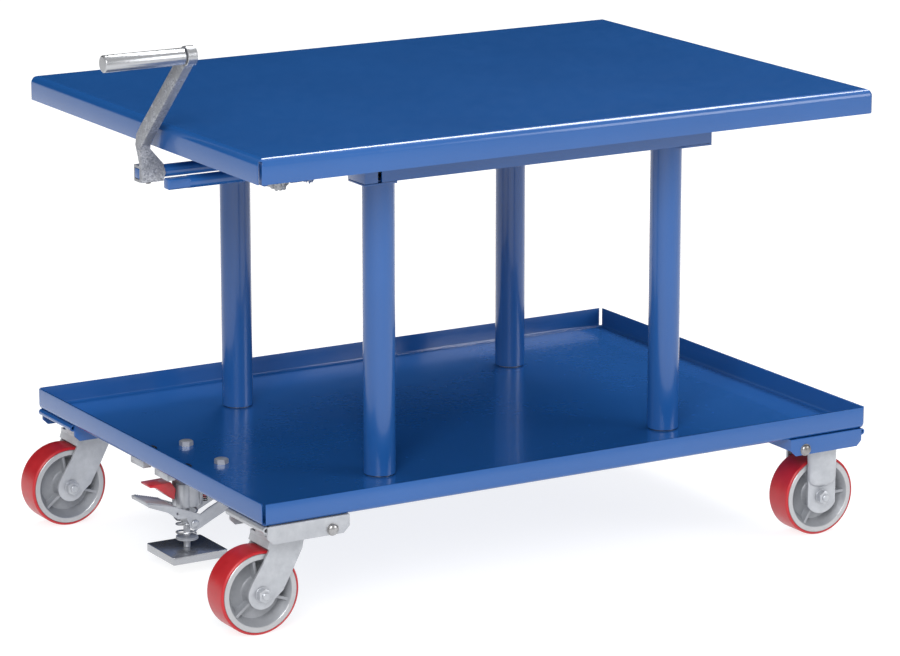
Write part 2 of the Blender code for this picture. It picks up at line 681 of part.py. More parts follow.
# ---------------------------------------------------------------- floor lock
def make_lock_body(zinc, parent):
    """Mounting plate with two ears, the barrel, and the cheeks that hold the anchor pin."""
    low, high = PLATE_TOP - 0.0040, PLATE_TOP
    body = box((-0.0500, 0.0860), (-0.0730, 0.0730), (low, high))
    for side in (-1, 1):
        ear = sorted((side * 0.0190, side * 0.0620))
        body = united(body, box((-0.0620, -0.0490), ear, (0.1620, high)))
        cheek = sorted((side * 0.0190, side * 0.0225))
        outline = [(0.0560, low + 0.001), (0.0600, 0.1060), (0.0720, 0.1000), (0.0830, 0.1060), (0.0860, low + 0.001)]
        body = united(body, prism(outline, cheek[0], cheek[1], "Y"))
    barrel = turned([(0.0, BARREL_BOTTOM), (BARREL_RADIUS - 0.0020, BARREL_BOTTOM),
                     (BARREL_RADIUS, BARREL_BOTTOM + 0.0020), (BARREL_RADIUS, low + 0.001), (0.0, low + 0.001)])
    body = united(body, barrel)
    anchor = moved(rod(0.0040, -0.0310, 0.0310, "Y", 16), ANCHOR_X - LOCK_X, 0.0, ANCHOR_Z)
    body = cut(united(body, anchor), rod(ROD_RADIUS + 0.0006, 0.05, 0.1640))
    stub = moved(rod(0.0030, 0.0100, 0.0248, "Y", 16), 0.0160, 0.0, 0.1180)
    return place("floor_lock_body", united(body, stub), zinc, parent, (LOCK_X, 0.0, 0.0))


def make_lock_plunger(zinc, parent):
    """Rod, spring seat, collar and the cross pin that the foot lever hangs on."""
    profile = [(0.0, PAD_TOP + GAP), (ROD_RADIUS, PAD_TOP + GAP), (ROD_RADIUS, 0.0470), (0.0165, 0.0470),
               (0.0170, 0.0478), (0.0170, 0.0515), (0.0165, 0.0520), (ROD_RADIUS, 0.0520), (ROD_RADIUS, 0.0716),
               (0.0160, 0.0716), (0.0160, 0.0840), (ROD_RADIUS, 0.0840), (ROD_RADIUS, 0.1380), (0.0, 0.1380)]
    pin = moved(rod(0.0040, -0.0295, 0.0295, "Y", 12), 0.0, 0.0, PIN_Z)
    heads = []
    for side in (-1, 1):
        low, high = sorted((side * (LEVER_OUTER + GAP), side * (LEVER_OUTER + 0.0025)))
        heads.append(moved(rod(0.0065, low, high, "Y", 12), 0.0, 0.0, PIN_Z))
    plunger = united(turned(profile, "Z", 16), pin, *heads)
    plunger.transform(Matrix.Translation((0.0, 0.0, -PIN_Z)))
    return place("lock_plunger", plunger, zinc, parent)


def make_lock_pad(steel, parent):
    half = PAD_SIDE / 2
    outline = []
    for cx, cy, start in ((1, 1, 0), (-1, 1, 90), (-1, -1, 180), (1, -1, 270)):
        outline += arc(cx * (half - 0.0030), cy * (half - 0.0030), 0.0030, start, start + 90, 3)
    pad = prism(outline, PAD_TOP - PAD_THICK, PAD_TOP)
    return place("lock_pad", moved(pad, z=-PIN_Z), steel, parent)


def make_lock_spring(steel, parent):
    """Two turns of round wire between the collar and the seat."""
    wire, radius, turns, steps, sides = 0.0015, 0.0145, 2.0, 30, 6
    low, high = 0.0520 + wire + GAP, 0.0716 - wire - GAP
    bm = bmesh.new()
    rings = []
    for i in range(steps + 1):
        t = i / steps
        angle = 2 * math.pi * turns * t
        centre = Vector((radius * math.cos(angle), radius * math.sin(angle), low + (high - low) * t))
        outward = Vector((math.cos(angle), math.sin(angle), 0.0))
        ring = []
        for k in range(sides):
            around = 2 * math.pi * k / sides
            ring.append(bm.verts.new(centre + outward * wire * math.cos(around)
                                     + Vector((0.0, 0.0, wire * math.sin(around)))))
        rings.append(ring)
    for one, two in zip(rings, rings[1:]):
        for k in range(sides):
            j = (k + 1) % sides
            bm.faces.new((one[k], one[j], two[j], two[k]))
    bm.faces.new(rings[0])
    bm.faces.new(rings[-1])
    return place("lock_spring", moved(finish_mesh(bm, "spring"), z=-PIN_Z), steel, parent)


def make_lock_pedal(zinc, parent):
    """The foot lever: two V-shaped cheeks joined by the tread, slotted over the anchor pin."""
    away = Vector((ANCHOR_X - LOCK_X, ANCHOR_Z - PIN_Z))
    reach = away.length
    along = away.normalized()
    across = Vector((-along.y, along.x))

    def at(distance, offset):
        point = along * distance + across * offset
        return (point.x, point.y)

    cheek = [(-0.0785, 0.0415), (-0.0770, 0.0365), (-0.0455, 0.0240), (-0.0280, 0.0110), (-0.0140, 0.0110),
             (-0.0080, -0.0040), (-0.0040, -0.0085), (0.0020, -0.0100), (0.0090, -0.0080)]
    cheek += [at(0.0300, -0.0100), at(reach + 0.0180, -0.0095), at(reach + 0.0230, -0.0050),
              at(reach + 0.0230, 0.0050), at(reach + 0.0180, 0.0095), at(0.0300, 0.0100)]
    cheek += [(0.0100, 0.0135), (-0.0100, 0.0215), (-0.0340, 0.0310)]
    slot = [at(reach - 0.0055, -0.0052), at(reach + 0.0175, -0.0052), at(reach + 0.0175, 0.0052),
            at(reach - 0.0055, 0.0052)]
    tread = [(-0.0790, 0.0440), (-0.0780, 0.0375), (-0.0300, 0.0262), (-0.0292, 0.0305), (-0.0340, 0.0345)]
    lever = prism(tread, -LEVER_OUTER, LEVER_OUTER, "Y")
    for side in (-1, 1):
        faces = sorted((side * LEVER_INNER, side * LEVER_OUTER))
        plate = cut(prism(cheek, faces[0], faces[1], "Y"), prism(slot, -0.05, 0.05, "Y"))
        lever = united(lever, plate)
    lever = cut(lever, rod(0.0044, -0.05, 0.05, "Y", 20))
    return place("lock_pedal", lever, zinc, parent)


def make_release_pedal(red, parent):
    """The release lever: a wedge tread, and one cheek that passes the barrel on its far side."""
    tread = [(-0.0850, 0.0255), (-0.0840, 0.0225), (-0.0740, 0.0212), (-0.0480, 0.0005), (-0.0436, -0.0010),
             (-0.0412, 0.0145), (-0.0490, 0.0262)]
    root = [(-0.0560, 0.0150), (-0.0540, 0.0060), (-0.0450, 0.0010), (-0.0430, 0.0120)]
    cheek = [(-0.0550, 0.0060), (0.0000, -0.0070), (0.0280, -0.0190), (0.0310, -0.0150), (0.0060, 0.0060),
             (-0.0550, 0.0145)]
    lever = united(prism(tread, -0.0150, 0.0150, "Y"), prism(root, 0.0140, 0.0230, "Y"),
                   prism(cheek, 0.0222, 0.0246, "Y"))
    return place("release_pedal", cut(lever, rod(0.0034, 0.01, 0.05, "Y", 16)), red, parent)


# ---------------------------------------------------------------- assembly
def build():
    for obj in list(bpy.data.objects):
        bpy.data.objects.remove(obj, do_unlink=True)

    blue = make_material("blue_paint", (0.035, 0.125, 0.420), 0.35, 0.0)
    zinc = make_material("zinc_plate", (0.62, 0.63, 0.66), 0.38, 0.9)
    steel = make_material("bright_steel", (0.72, 0.72, 0.73), 0.22, 1.0)
    oiled = make_material("oiled_steel", (0.40, 0.40, 0.41), 0.40, 0.9)
    bronze = make_material("bronze", (0.55, 0.38, 0.18), 0.40, 0.9)
    cast = make_material("galvanised_cast", (0.45, 0.46, 0.47), 0.55, 0.7)
    red = make_material("red_paint", (0.50, 0.02, 0.03), 0.40, 0.0)
    poly = make_material("red_polyurethane", (0.55, 0.03, 0.05), 0.45, 0.0)

    middle = pivot("table_middle", None, (TABLE_X, 0.0, 0.0))
    make_deck(blue, middle)
    top = pivot("table_lift", middle, (0.0, 0.0, 0.0))
    make_tabletop(blue, top)
    for side, sy in SIDES:
        make_side_rail(side, sy, blue, top)
    for end, sx in ENDS:
        make_cross_member(end, sx, blue, top)
    for corner, sx, sy in CORNERS:
        make_post_tube(corner, sx, sy, blue, top)
        make_bearing(corner, sx, sy, steel, top)
        make_screw(corner, sx, sy, oiled, top)
        make_screw_sprocket(corner, sx, sy, oiled, top)
        make_guide_tube(corner, sx, sy, oiled, middle)
        make_nut(corner, sx, sy, bronze, middle)

    lift_wheels = [(sx * POST_X, sy * POST_Y, TEETH_BIG) for corner, sx, sy in CORNERS]
    lift_wheels.append((JACK_X, FAST_Y, TEETH_BIG))
    place("lift_chain", chain_loop(lift_wheels, CHAIN_Z, CHAIN_Z + CHAIN_THICK, "Z"), oiled, top)
    input_wheels = [(FAST_Y, SHAFT_Z, TEETH_BIG), (SLOW_Y, SHAFT_Z, TEETH_SMALL)]
    place("input_chain", chain_loop(input_wheels, INPUT_CHAIN_X, INPUT_CHAIN_X + CHAIN_THICK, "X"), oiled, top)
    make_shaft_bracket(blue, top)
    make_jack_shaft(blue, pivot("jack_turn", top, (JACK_X, FAST_Y, SHAFT_Z)))
    make_fast_shaft(blue, pivot("fast_turn", top, (0.0, FAST_Y, SHAFT_Z)))
    slow = pivot("slow_turn", top, (0.0, SLOW_Y, SHAFT_Z))
    make_slow_shaft(blue, slow)
    crank = pivot("crank_socket", slow, (SHAFT_END, 0.0, 0.0))
    make_crank_handle(cast, crank)
    make_crank_grip(steel, pivot("grip_turn", crank, (0.0, CRANK_THROW_Y, CRANK_THROW_Z)))

    for corner, sx, sy in CORNERS:
        near_left = corner == "near_left"
        make_caster_plate(corner, sx, sy, zinc if near_left else blue, middle)
        if sx < 0:
            swivel = pivot("swivel_" + corner, middle, (SWIVEL_X, sy * CASTER_Y, 0.0))
            make_swivel_fork(corner, sy, zinc, swivel)
            axle = (-SWIVEL_TRAIL, 0.0, WHEEL_RADIUS)
        else:
            swivel = pivot("rigid_" + corner, middle, (RIGID_X, sy * CASTER_Y, 0.0))
            make_rigid_fork(corner, sy, zinc, swivel)
            axle = (0.0, 0.0, WHEEL_RADIUS)
        make_axle(corner, zinc, swivel, axle)
        make_wheel(corner, poly, pivot("roll_" + corner, swivel, axle))

    make_lock_body(zinc, middle)
    plunger = pivot("lock_slide", middle, (LOCK_X, 0.0, PIN_Z))
    make_lock_plunger(zinc, plunger)
    make_lock_pad(steel, plunger)
    make_lock_spring(steel, plunger)
    make_lock_pedal(zinc, pivot("lock_lever", plunger, (0.0, 0.0, 0.0)))
    make_release_pedal(red, pivot("release_lever", middle, (LOCK_X + 0.0160, 0.0, 0.1180)))


build()
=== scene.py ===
"""Looks of a hand-cranked four-post lift table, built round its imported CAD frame.

Blender 4.5, metres.  Shapes are drawn about the table's middle line (x = 0 half way along the top) and
"place" moves each one to where the CAD has it.
"""
import math

import bmesh
import bpy
from mathutils import Matrix, Vector


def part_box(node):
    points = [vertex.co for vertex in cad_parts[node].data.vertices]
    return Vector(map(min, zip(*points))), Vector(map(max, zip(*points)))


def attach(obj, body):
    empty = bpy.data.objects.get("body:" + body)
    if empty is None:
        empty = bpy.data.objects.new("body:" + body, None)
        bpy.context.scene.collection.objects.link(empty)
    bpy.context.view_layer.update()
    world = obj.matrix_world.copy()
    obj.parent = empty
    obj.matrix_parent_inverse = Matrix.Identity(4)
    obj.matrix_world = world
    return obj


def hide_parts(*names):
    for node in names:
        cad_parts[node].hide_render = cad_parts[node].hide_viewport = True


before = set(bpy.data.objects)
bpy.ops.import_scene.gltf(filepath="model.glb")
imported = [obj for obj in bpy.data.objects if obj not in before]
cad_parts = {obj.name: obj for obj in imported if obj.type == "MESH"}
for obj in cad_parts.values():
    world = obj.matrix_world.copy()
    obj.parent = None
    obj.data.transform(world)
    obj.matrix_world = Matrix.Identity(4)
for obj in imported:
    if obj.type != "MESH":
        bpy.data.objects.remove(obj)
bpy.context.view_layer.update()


def span(node):
    """A CAD node's lowest and highest corners about the table's middle."""
    low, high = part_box(node)
    return low - MIDDLE, high - MIDDLE


def middle_of(node):
    """The middle of a CAD node's box about the table's middle."""
    low, high = span(node)
    return (low + high) / 2


# ---------------------------------------------------------------- places and sizes read from the frame
MIDDLE = Vector(((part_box("tabletop")[0].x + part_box("tabletop")[1].x) / 2, 0.0, 0.0))
TOP_LOW, TOP_HIGH = span("tabletop")
DECK_LOW, DECK_HIGH = span("deck_tray")
RAIL_LOW, RAIL_HIGH = span("side_rail_near")
POST_X = middle_of("lift_screw_near_right").x
POST_Y = middle_of("lift_screw_far_right").y
POST_BOTTOM = span("post_tube_near_right")[0].z
POST_TOP = span("post_tube_near_right")[1].z
GUIDE_LOW, GUIDE_HIGH = span("guide_tube_near_right")
SCREW_LOW, SCREW_HIGH = span("lift_screw_near_right")
CHAIN_LOW, CHAIN_HIGH = span("lift_chain")
BRACKET_LOW, BRACKET_HIGH = span("shaft_bracket")
FAST_LOW, FAST_HIGH = span("fast_input_shaft")
FAST_Y = middle_of("fast_input_shaft").y
SLOW_Y = middle_of("slow_input_shaft").y
SHAFT_Z = middle_of("fast_input_shaft").z
SLOW_END = span("slow_input_shaft")[0].x
JACK = middle_of("jack_shaft")
INPUT_CHAIN_X = middle_of("input_chain").x
GRIP = middle_of("crank_grip")
GRIP_LOW, GRIP_HIGH = span("crank_grip")
CASTER_Y = middle_of("wheel_far_right").y
WHEEL_RADIUS = middle_of("axle_far_right").z
SWIVEL_AXLE_X = middle_of("axle_far_left").x
RIGID_X = middle_of("axle_far_right").x
PLATE_LOW, PLATE_HIGH = span("caster_plate_far_right")
PAD_LOW, PAD_HIGH = span("lock_pad")
LOCK_X = middle_of("lock_pad").x

# ---------------------------------------------------------------- sizes the frame doesn't give
TOP_SHEET = 0.0034
SHEET = 0.0032
TOP_BEND = 0.0115
DECK_BEND = 0.008
CORNER_RADIUS = 0.0068
CORNER_SLIT = 0.0052
POST_RADIUS = 0.02415
POST_WALL = 0.0036
PLATE_SHEET = 0.003
GUIDE_RADIUS = 0.02
GUIDE_WALL = 0.0035
SCREW_LEAD = 0.00508
SCREW_COLLAR = 0.6413
WELD_RIPPLE = 0.003
CHAIN_PITCH = 0.0127
ROLLER_RADIUS = 0.0039
CHAIN_MIDDLE = (CHAIN_LOW.z + CHAIN_HIGH.z) / 2
WHEEL_THICK = 0.004
FAST_SQUARE = 0.0345
SLOW_SQUARE = 0.041
TEETH_BIG = 12
TEETH_SMALL = 8
SHAFT_RADIUS = 0.0095
MITRE_FACE = 0.0105
EYE_WIDTH = 0.015
PLATE_HALF = 0.0595
SWIVEL_TRAIL = 0.0468
KING_X = SWIVEL_AXLE_X + SWIVEL_TRAIL
KING_BORE = 0.0085
AXLE_BORE = 0.0063
NUT_ACROSS = 0.019
WHEEL_HALF = 0.025
TREAD_RADIUS = WHEEL_RADIUS - span("wheel_near_left")[0].z
FORK_INNER = 0.0262
FORK_SHEET = 0.0038
CROWN_TOP = 0.145
PIN_Z = 0.0777
BARREL_RADIUS = 0.0216
BARREL_BOTTOM = 0.101
ANCHOR_X = -0.388
ANCHOR_Z = 0.11
RELEASE_X = LOCK_X + 0.016
RELEASE_Z = 0.118
LOCK_BOLTS_X = (-0.4295, -0.49)
LOCK_BOLTS_Y = 0.0583

# ---------------------------------------------------------------- studio, places about the table's middle
FLOOR_SIZE = 80.0
LAMP_AIM_HEIGHT = 0.4
CAMERA_LENS = 159.68
CAMERA_AT = (-3.06896, -5.20257, 1.81872)
CAMERA_AIM = (0.00378, 0.0, 0.3179)

ENDS = (("left", -1), ("right", 1))
SIDES = (("near", -1), ("far", 1))
CORNERS = [(side + "_" + end, sx, sy) for end, sx in ENDS for side, sy in SIDES]


# ---------------------------------------------------------------- materials
def add_node(tree, kind, **inputs):
    """A new shader node; each input is a value or another node's output."""
    node = tree.nodes.new("ShaderNode" + kind)
    for name, value in inputs.items():
        socket = node.inputs[name.replace("_", " ")]
        if isinstance(value, bpy.types.NodeSocket):
            tree.links.new(value, socket)
        else:
            socket.default_value = value
    return node


class Nodes:
    """A material under construction: its tree, its shader and short names for common nodes."""

    def __init__(self, name, colour, roughness, metallic, **sockets):
        self.material = bpy.data.materials.new(name)
        self.material.use_nodes = True
        self.tree = self.material.node_tree
        self.shader = self.tree.nodes["Principled BSDF"]
        sockets.update(Base_Color=(*colour, 1.0), Roughness=roughness, Metallic=metallic)
        for socket, value in sockets.items():
            self.shader.inputs[socket.replace("_", " ")].default_value = value
        self.where = add_node(self.tree, "TexCoord").outputs["Object"]

    def drive(self, socket, output):
        """Let a node's output set one of the shader's sockets."""
        self.tree.links.new(output, self.shader.inputs[socket])

    def noise(self, scale, detail=3.0, roughness=0.5, stretch=None):
        where = self.where
        if stretch:
            where = add_node(self.tree, "Mapping", Vector=where, Scale=stretch).outputs["Vector"]
        node = add_node(self.tree, "TexNoise", Vector=where, Scale=scale, Detail=detail, Roughness=roughness)
        return node.outputs["Fac"]

    def cells(self, scale):
        return add_node(self.tree, "TexVoronoi", Vector=self.where, Scale=scale)

    def waves(self, scale, direction, distortion):
        node = add_node(self.tree, "TexWave", Vector=self.where, Scale=scale, Distortion=distortion)
        node.inputs["Detail"].default_value = 2.0
        node.bands_direction = direction
        return node.outputs["Fac"]

    def ramp(self, value, start, end, top=1.0):
        """A grey that is 0 up to start and rises to top at end."""
        node = add_node(self.tree, "ValToRGB", Fac=value)
        for element, position, level in zip(node.color_ramp.elements, (start, end), (0.0, top)):
            element.position = position
            element.color = (level, level, level, 1.0)
        return node.outputs["Color"]

    def mix(self, factor, one, two):
        """Colour one where the factor is 0, colour two where it is 1."""
        node = self.tree.nodes.new("ShaderNodeMix")
        node.data_type = "RGBA"
        for name, value in (("Factor", factor), ("A", one), ("B", two)):
            socket = [s for s in node.inputs if s.name == name and s.enabled][0]
            if isinstance(value, bpy.types.NodeSocket):
                self.tree.links.new(value, socket)
            else:
                socket.default_value = (*value, 1.0)
        return [s for s in node.outputs if s.enabled][0]

    def colour(self, value):
        self.drive("Base Color", value)

    def roughness(self, value, low, high):
        spread = add_node(self.tree, "MapRange", Value=value, To_Min=low, To_Max=high)
        self.drive("Roughness", spread.outputs["Result"])

    def bump(self, height, distance, strength, after=None):
        node = add_node(self.tree, "Bump", Height=height, Distance=distance, Strength=strength)
        if after is not None:
            self.tree.links.new(after, node.inputs["Normal"])
        self.drive("Normal", node.outputs["Normal"])
        return node.outputs["Normal"]


def blue_enamel():
    """Glossy stoved enamel: faint orange peel, fine upright wiping marks, slight unevenness of colour."""
    m = Nodes("blue_enamel", (0.0118, 0.083, 0.282), 0.2, 0.0, Coat_Weight=0.3, Coat_Roughness=0.06)
    cloud = m.ramp(m.noise(5.0, 4.0), 0.3, 0.7)
    m.colour(m.mix(cloud, (0.0112, 0.079, 0.272), (0.0126, 0.087, 0.296)))
    m.roughness(m.noise(60.0, 5.0, 0.6, (1.0, 1.0, 0.08)), 0.17, 0.3)
    m.bump(m.noise(240.0, 2.0), 0.0001, 0.16)
    return m.material


def zinc_plate():
    """Bright zinc on pressed steel: cloudy, with fine rolling lines."""
    m = Nodes("zinc_plate", (0.4, 0.415, 0.445), 0.34, 0.45)
    cloud = m.noise(60.0, 5.0, 0.6)
    m.colour(m.mix(m.ramp(cloud, 0.3, 0.7), (0.36, 0.375, 0.405), (0.45, 0.465, 0.495)))
    m.roughness(m.noise(90.0, 4.0, 0.6, (1.0, 1.0, 0.15)), 0.24, 0.46)
    lines = m.bump(m.noise(420.0, 3.0, 0.6, (1.0, 1.0, 0.08)), 0.0001, 0.3)
    m.bump(m.noise(120.0, 3.0), 0.0002, 0.2, lines)
    return m.material


def bright_steel():
    """Turned and polished steel: fine rings from the tool and a few dull patches."""
    m = Nodes("bright_steel", (0.43, 0.44, 0.46), 0.26, 0.85)
    m.colour(m.mix(m.noise(30.0, 4.0, 0.5, (0.2, 1.0, 1.0)), (0.36, 0.37, 0.39), (0.5, 0.51, 0.53)))
    m.roughness(m.noise(75.0, 3.0, 0.5), 0.22, 0.29)
    m.bump(m.waves(420.0, "X", 0.6), 0.00006, 0.3)
    return m.material


def galvanised():
    """Galvanised forging: fine dull spangle with darker stains."""
    m = Nodes("galvanised", (0.34, 0.35, 0.385), 0.42, 0.7)
    cells = m.cells(420.0)
    grain = m.ramp(cells.outputs["Color"], 0.15, 0.85)
    spangle = m.mix(grain, (0.21, 0.22, 0.255), (0.48, 0.495, 0.54))
    stains = m.ramp(m.noise(55.0, 5.0, 0.7), 0.44, 0.6)
    m.colour(m.mix(stains, spangle, (0.3, 0.31, 0.335)))
    m.roughness(cells.outputs["Distance"], 0.32, 0.55)
    edges = m.bump(cells.outputs["Distance"], 0.0001, 0.25)
    m.bump(m.noise(700.0, 3.0), 0.0001, 0.25, edges)
    return m.material


def oiled_steel():
    """Bare steel under a film of oil, darker where the oil has run."""
    m = Nodes("oiled_steel", (0.3, 0.3, 0.31), 0.3, 0.95, Coat_Weight=0.25, Coat_Roughness=0.15)
    film = m.ramp(m.noise(28.0, 5.0, 0.65, (1.0, 1.0, 0.4)), 0.38, 0.66)
    m.colour(m.mix(film, (0.17, 0.16, 0.15), (0.42, 0.42, 0.43)))
    m.roughness(m.noise(60.0, 4.0), 0.22, 0.42)
    m.bump(m.noise(700.0, 2.0, 0.5, (1.0, 1.0, 0.1)), 0.00008, 0.3)
    return m.material


def bronze():
    """Turned bronze, a little tarnished."""
    m = Nodes("bronze", (0.55, 0.36, 0.16), 0.36, 0.95)
    m.colour(m.mix(m.noise(45.0, 5.0, 0.65), (0.4, 0.25, 0.1), (0.66, 0.45, 0.21)))
    m.roughness(m.noise(120.0, 3.0), 0.28, 0.48)
    m.bump(m.waves(500.0, "Z", 0.4), 0.00006, 0.3)
    return m.material


def red_polyurethane():
    """Cast polyurethane: slightly translucent, satin, with a faint bloom."""
    m = Nodes("red_polyurethane", (0.42, 0.01, 0.016), 0.38, 0.0, Subsurface_Weight=0.06,
              Subsurface_Scale=0.004, Coat_Weight=0.05, Coat_Roughness=0.3)
    bloom = m.ramp(m.noise(40.0, 5.0, 0.6), 0.35, 0.7)
    m.colour(m.mix(bloom, (0.39, 0.008, 0.014), (0.46, 0.014, 0.02)))
    m.roughness(m.noise(160.0, 4.0), 0.28, 0.46)
    m.bump(m.noise(900.0, 3.0), 0.00006, 0.35)
    return m.material


def cast_core():
    """Sand-cast wheel core in silver paint: fine sand texture and soft pits."""
    m = Nodes("cast_core", (0.28, 0.29, 0.31), 0.48, 0.35)
    m.colour(m.mix(m.noise(55.0, 5.0, 0.65), (0.22, 0.23, 0.25), (0.34, 0.35, 0.375)))
    m.roughness(m.noise(140.0, 4.0), 0.36, 0.6)
    sand = m.bump(m.noise(750.0, 4.0, 0.7), 0.00018, 0.5)
    m.bump(m.noise(130.0, 2.0), 0.0003, 0.25, sand)
    return m.material


def machined_rim():
    """Machined ring of the wheel core: concentric tool marks."""
    m = Nodes("machined_rim", (0.41, 0.415, 0.43), 0.32, 0.5)
    m.colour(m.mix(m.noise(70.0, 4.0), (0.37, 0.375, 0.39), (0.46, 0.465, 0.48)))
    m.roughness(m.noise(220.0, 3.0), 0.24, 0.42)
    m.bump(m.noise(900.0, 2.0), 0.00006, 0.25)
    return m.material


def red_enamel():
    """Red paint on a casting, worn dark in small patches."""
    m = Nodes("red_enamel", (0.45, 0.01, 0.018), 0.3, 0.0, Coat_Weight=0.3, Coat_Roughness=0.15)
    wear = m.ramp(m.noise(90.0, 5.0, 0.7), 0.6, 0.74, 0.5)
    m.colour(m.mix(wear, (0.46, 0.009, 0.017), (0.3, 0.012, 0.02)))
    m.roughness(m.noise(120.0, 4.0), 0.22, 0.42)
    m.bump(m.noise(320.0, 3.0), 0.00012, 0.35)
    return m.material


def black_oxide_and_painted_shade():
    """Blackened steel fasteners; also given to the deck's outer pair of bolt heads as painted shade, as those
    are the same bolts as the zinc inner pair and look dark only because they sit in shade.
    """
    m = Nodes("black_oxide_and_painted_shade", (0.03, 0.03, 0.034), 0.42, 0.8)
    m.colour(m.mix(m.noise(80.0, 5.0, 0.7), (0.018, 0.018, 0.02), (0.06, 0.06, 0.066)))
    m.roughness(m.noise(200.0, 4.0), 0.32, 0.55)
    m.bump(m.noise(900.0, 3.0), 0.00006, 0.4)
    return m.material


def along(tree, position, direction):
    """How far a position lies along a direction."""
    node = add_node(tree, "VectorMath", Vector=position)
    node.operation = "DOT_PRODUCT"
    node.inputs[1].default_value = direction
    return node.outputs["Value"]


def studio_floor():
    """A pale sweep that glows a little, so shadows stay faint; it glows less far out on both sides."""
    m = Nodes("studio_floor", (0.28, 0.28, 0.28), 0.8, 0.0, Emission_Color=(1.0, 1.0, 1.0, 1.0))
    m.colour(m.mix(m.noise(0.6, 3.0), (0.275, 0.275, 0.275), (0.285, 0.285, 0.285)))
    m.roughness(m.noise(4.0, 2.0), 0.76, 0.86)
    sideways = add_node(m.tree, "Math", Value=along(m.tree, m.where, (0.86, -0.51, 0.0)))
    sideways.operation = "ABSOLUTE"
    glow = add_node(m.tree, "MapRange", Value=sideways.outputs["Value"], From_Min=1.5, From_Max=3.0,
                    To_Min=0.82, To_Max=0.58)
    m.drive("Emission Strength", glow.outputs["Result"])
    return m.material


# ---------------------------------------------------------------- mesh helpers
def arc(cx, cy, radius, start, end, steps):
    """Points along a circular arc, angles in degrees, both ends included."""
    points = []
    for i in range(steps + 1):
        angle = math.radians(start + (end - start) * i / steps)
        points.append((cx + radius * math.cos(angle), cy + radius * math.sin(angle)))
    return points


def finish_mesh(bm):
    """A mesh from a bmesh, with doubled corners merged and the normals outward."""
    bmesh.ops.remove_doubles(bm, verts=bm.verts, dist=1e-6)
    bmesh.ops.recalc_face_normals(bm, faces=bm.faces)
    mesh = bpy.data.meshes.new("shape")
    bm.to_mesh(mesh)
    bm.free()
    return mesh


def lift_point(axis, u, v, w):
    """A point of an outline (u, v) at depth w along the named axis."""
    if axis == "X":
        return (w, u, v)
    if axis == "Y":
        return (u, w, v)
    return (u, v, w)


def prism(outline, low, high, axis="Z"):
    """A straight solid of one outline between two depths along an axis."""
    bm = bmesh.new()
    base = bm.faces.new([bm.verts.new(lift_point(axis, u, v, low)) for u, v in outline])
    raised = bmesh.ops.extrude_face_region(bm, geom=[base])["geom"]
    shift = Vector(lift_point(axis, 0.0, 0.0, high - low))
    bmesh.ops.translate(bm, verts=[e for e in raised if isinstance(e, bmesh.types.BMVert)], vec=shift)
    return finish_mesh(bm)


def box(x, y, z):
    """A box from three (low, high) pairs."""
    return prism([(x[0], y[0]), (x[1], y[0]), (x[1], y[1]), (x[0], y[1])], z[0], z[1])


def turned(profile, axis="Z", steps=64):
    """A closed (radius, height) profile spun about an axis; radius 0 is a pole."""
    bm = bmesh.new()
    rings = []
    for radius, height in profile:
        if radius < 1e-9:
            rings.append([bm.verts.new(lift_point(axis, 0.0, 0.0, height))])
            continue
        ring = []
        for i in range(steps):
            angle = 2 * math.pi * i / steps
            u, v = radius * math.cos(angle), radius * math.sin(angle)
            ring.append(bm.verts.new(lift_point(axis, u, v, height)))
        rings.append(ring)
    for one, two in zip(rings, rings[1:] + rings[:1]):
        if len(one) == 1 and len(two) == 1:
            continue
        for i in range(steps):
            j = (i + 1) % steps
            if len(one) == 1:
                bm.faces.new((one[0], two[i], two[j]))
            elif len(two) == 1:
                bm.faces.new((one[i], one[j], two[0]))
            else:
                bm.faces.new((one[i], one[j], two[j], two[i]))
    return finish_mesh(bm)


def chamfered(radius, low, high, edge):
    """The side of a round bar as (radius, height) points, with a chamfer of this size at both ends."""
    if edge == 0.0:
        return [(radius, low), (radius, high)]
    return [(radius - edge, low), (radius, low + edge), (radius, high - edge), (radius - edge, high)]


def rod(radius, low, high, axis="Z", steps=48, edge=0.0):
    """A round bar; edge is the size of its end chamfers."""
    return turned([(0.0, low)] + chamfered(radius, low, high, edge) + [(0.0, high)], axis, steps)


def tube(outer, inner, low, high, axis="Z", steps=64, edge=0.0):
    """A round tube, chamfered outside at both ends."""
    return turned([(inner, low)] + chamfered(outer, low, high, edge) + [(inner, high)], axis, steps)


def hexagon(across, low, high, axis="Z", crowned=0.0):
    """A hexagonal head; its crowned end, high, is turned to a shallow cone."""
    blank = prism(arc(0.0, 0.0, across / math.sqrt(3), 30, 330, 5), min(low, high), max(low, high), axis)
    if crowned == 0.0:
        return blank
    way = 1 if high > low else -1
    rim, flat, base = across * 0.6, across * 0.46, low - way * 0.002
    profile = [(0.0, base), (rim, base), (rim, high - way * crowned * 1.3), (flat, high), (0.0, high)]
    return boolean(blank, turned(profile, axis, 48), "INTERSECT")


def moved(mesh, x=0.0, y=0.0, z=0.0):
    """The mesh itself, shifted."""
    mesh.transform(Matrix.Translation((x, y, z)))
    return mesh


def turned_by(mesh, degrees, axis):
    """The mesh itself, turned about an axis through the origin."""
    mesh.transform(Matrix.Rotation(math.radians(degrees), 4, axis))
    return mesh


def mirrored(mesh, y):
    """A copy of the mesh; y = -1 flips it across the table's long middle plane."""
    copy = mesh.copy()
    copy.transform(Matrix.Diagonal((1, y, 1, 1)))
    if y < 0:
        copy.flip_normals()
    return copy


def joined(meshes):
    """Several meshes as one, without a Boolean."""
    bm = bmesh.new()
    for mesh in meshes:
        bm.from_mesh(mesh)
    mesh = bpy.data.meshes.new("joined")
    bm.to_mesh(mesh)
    bm.free()
    return mesh


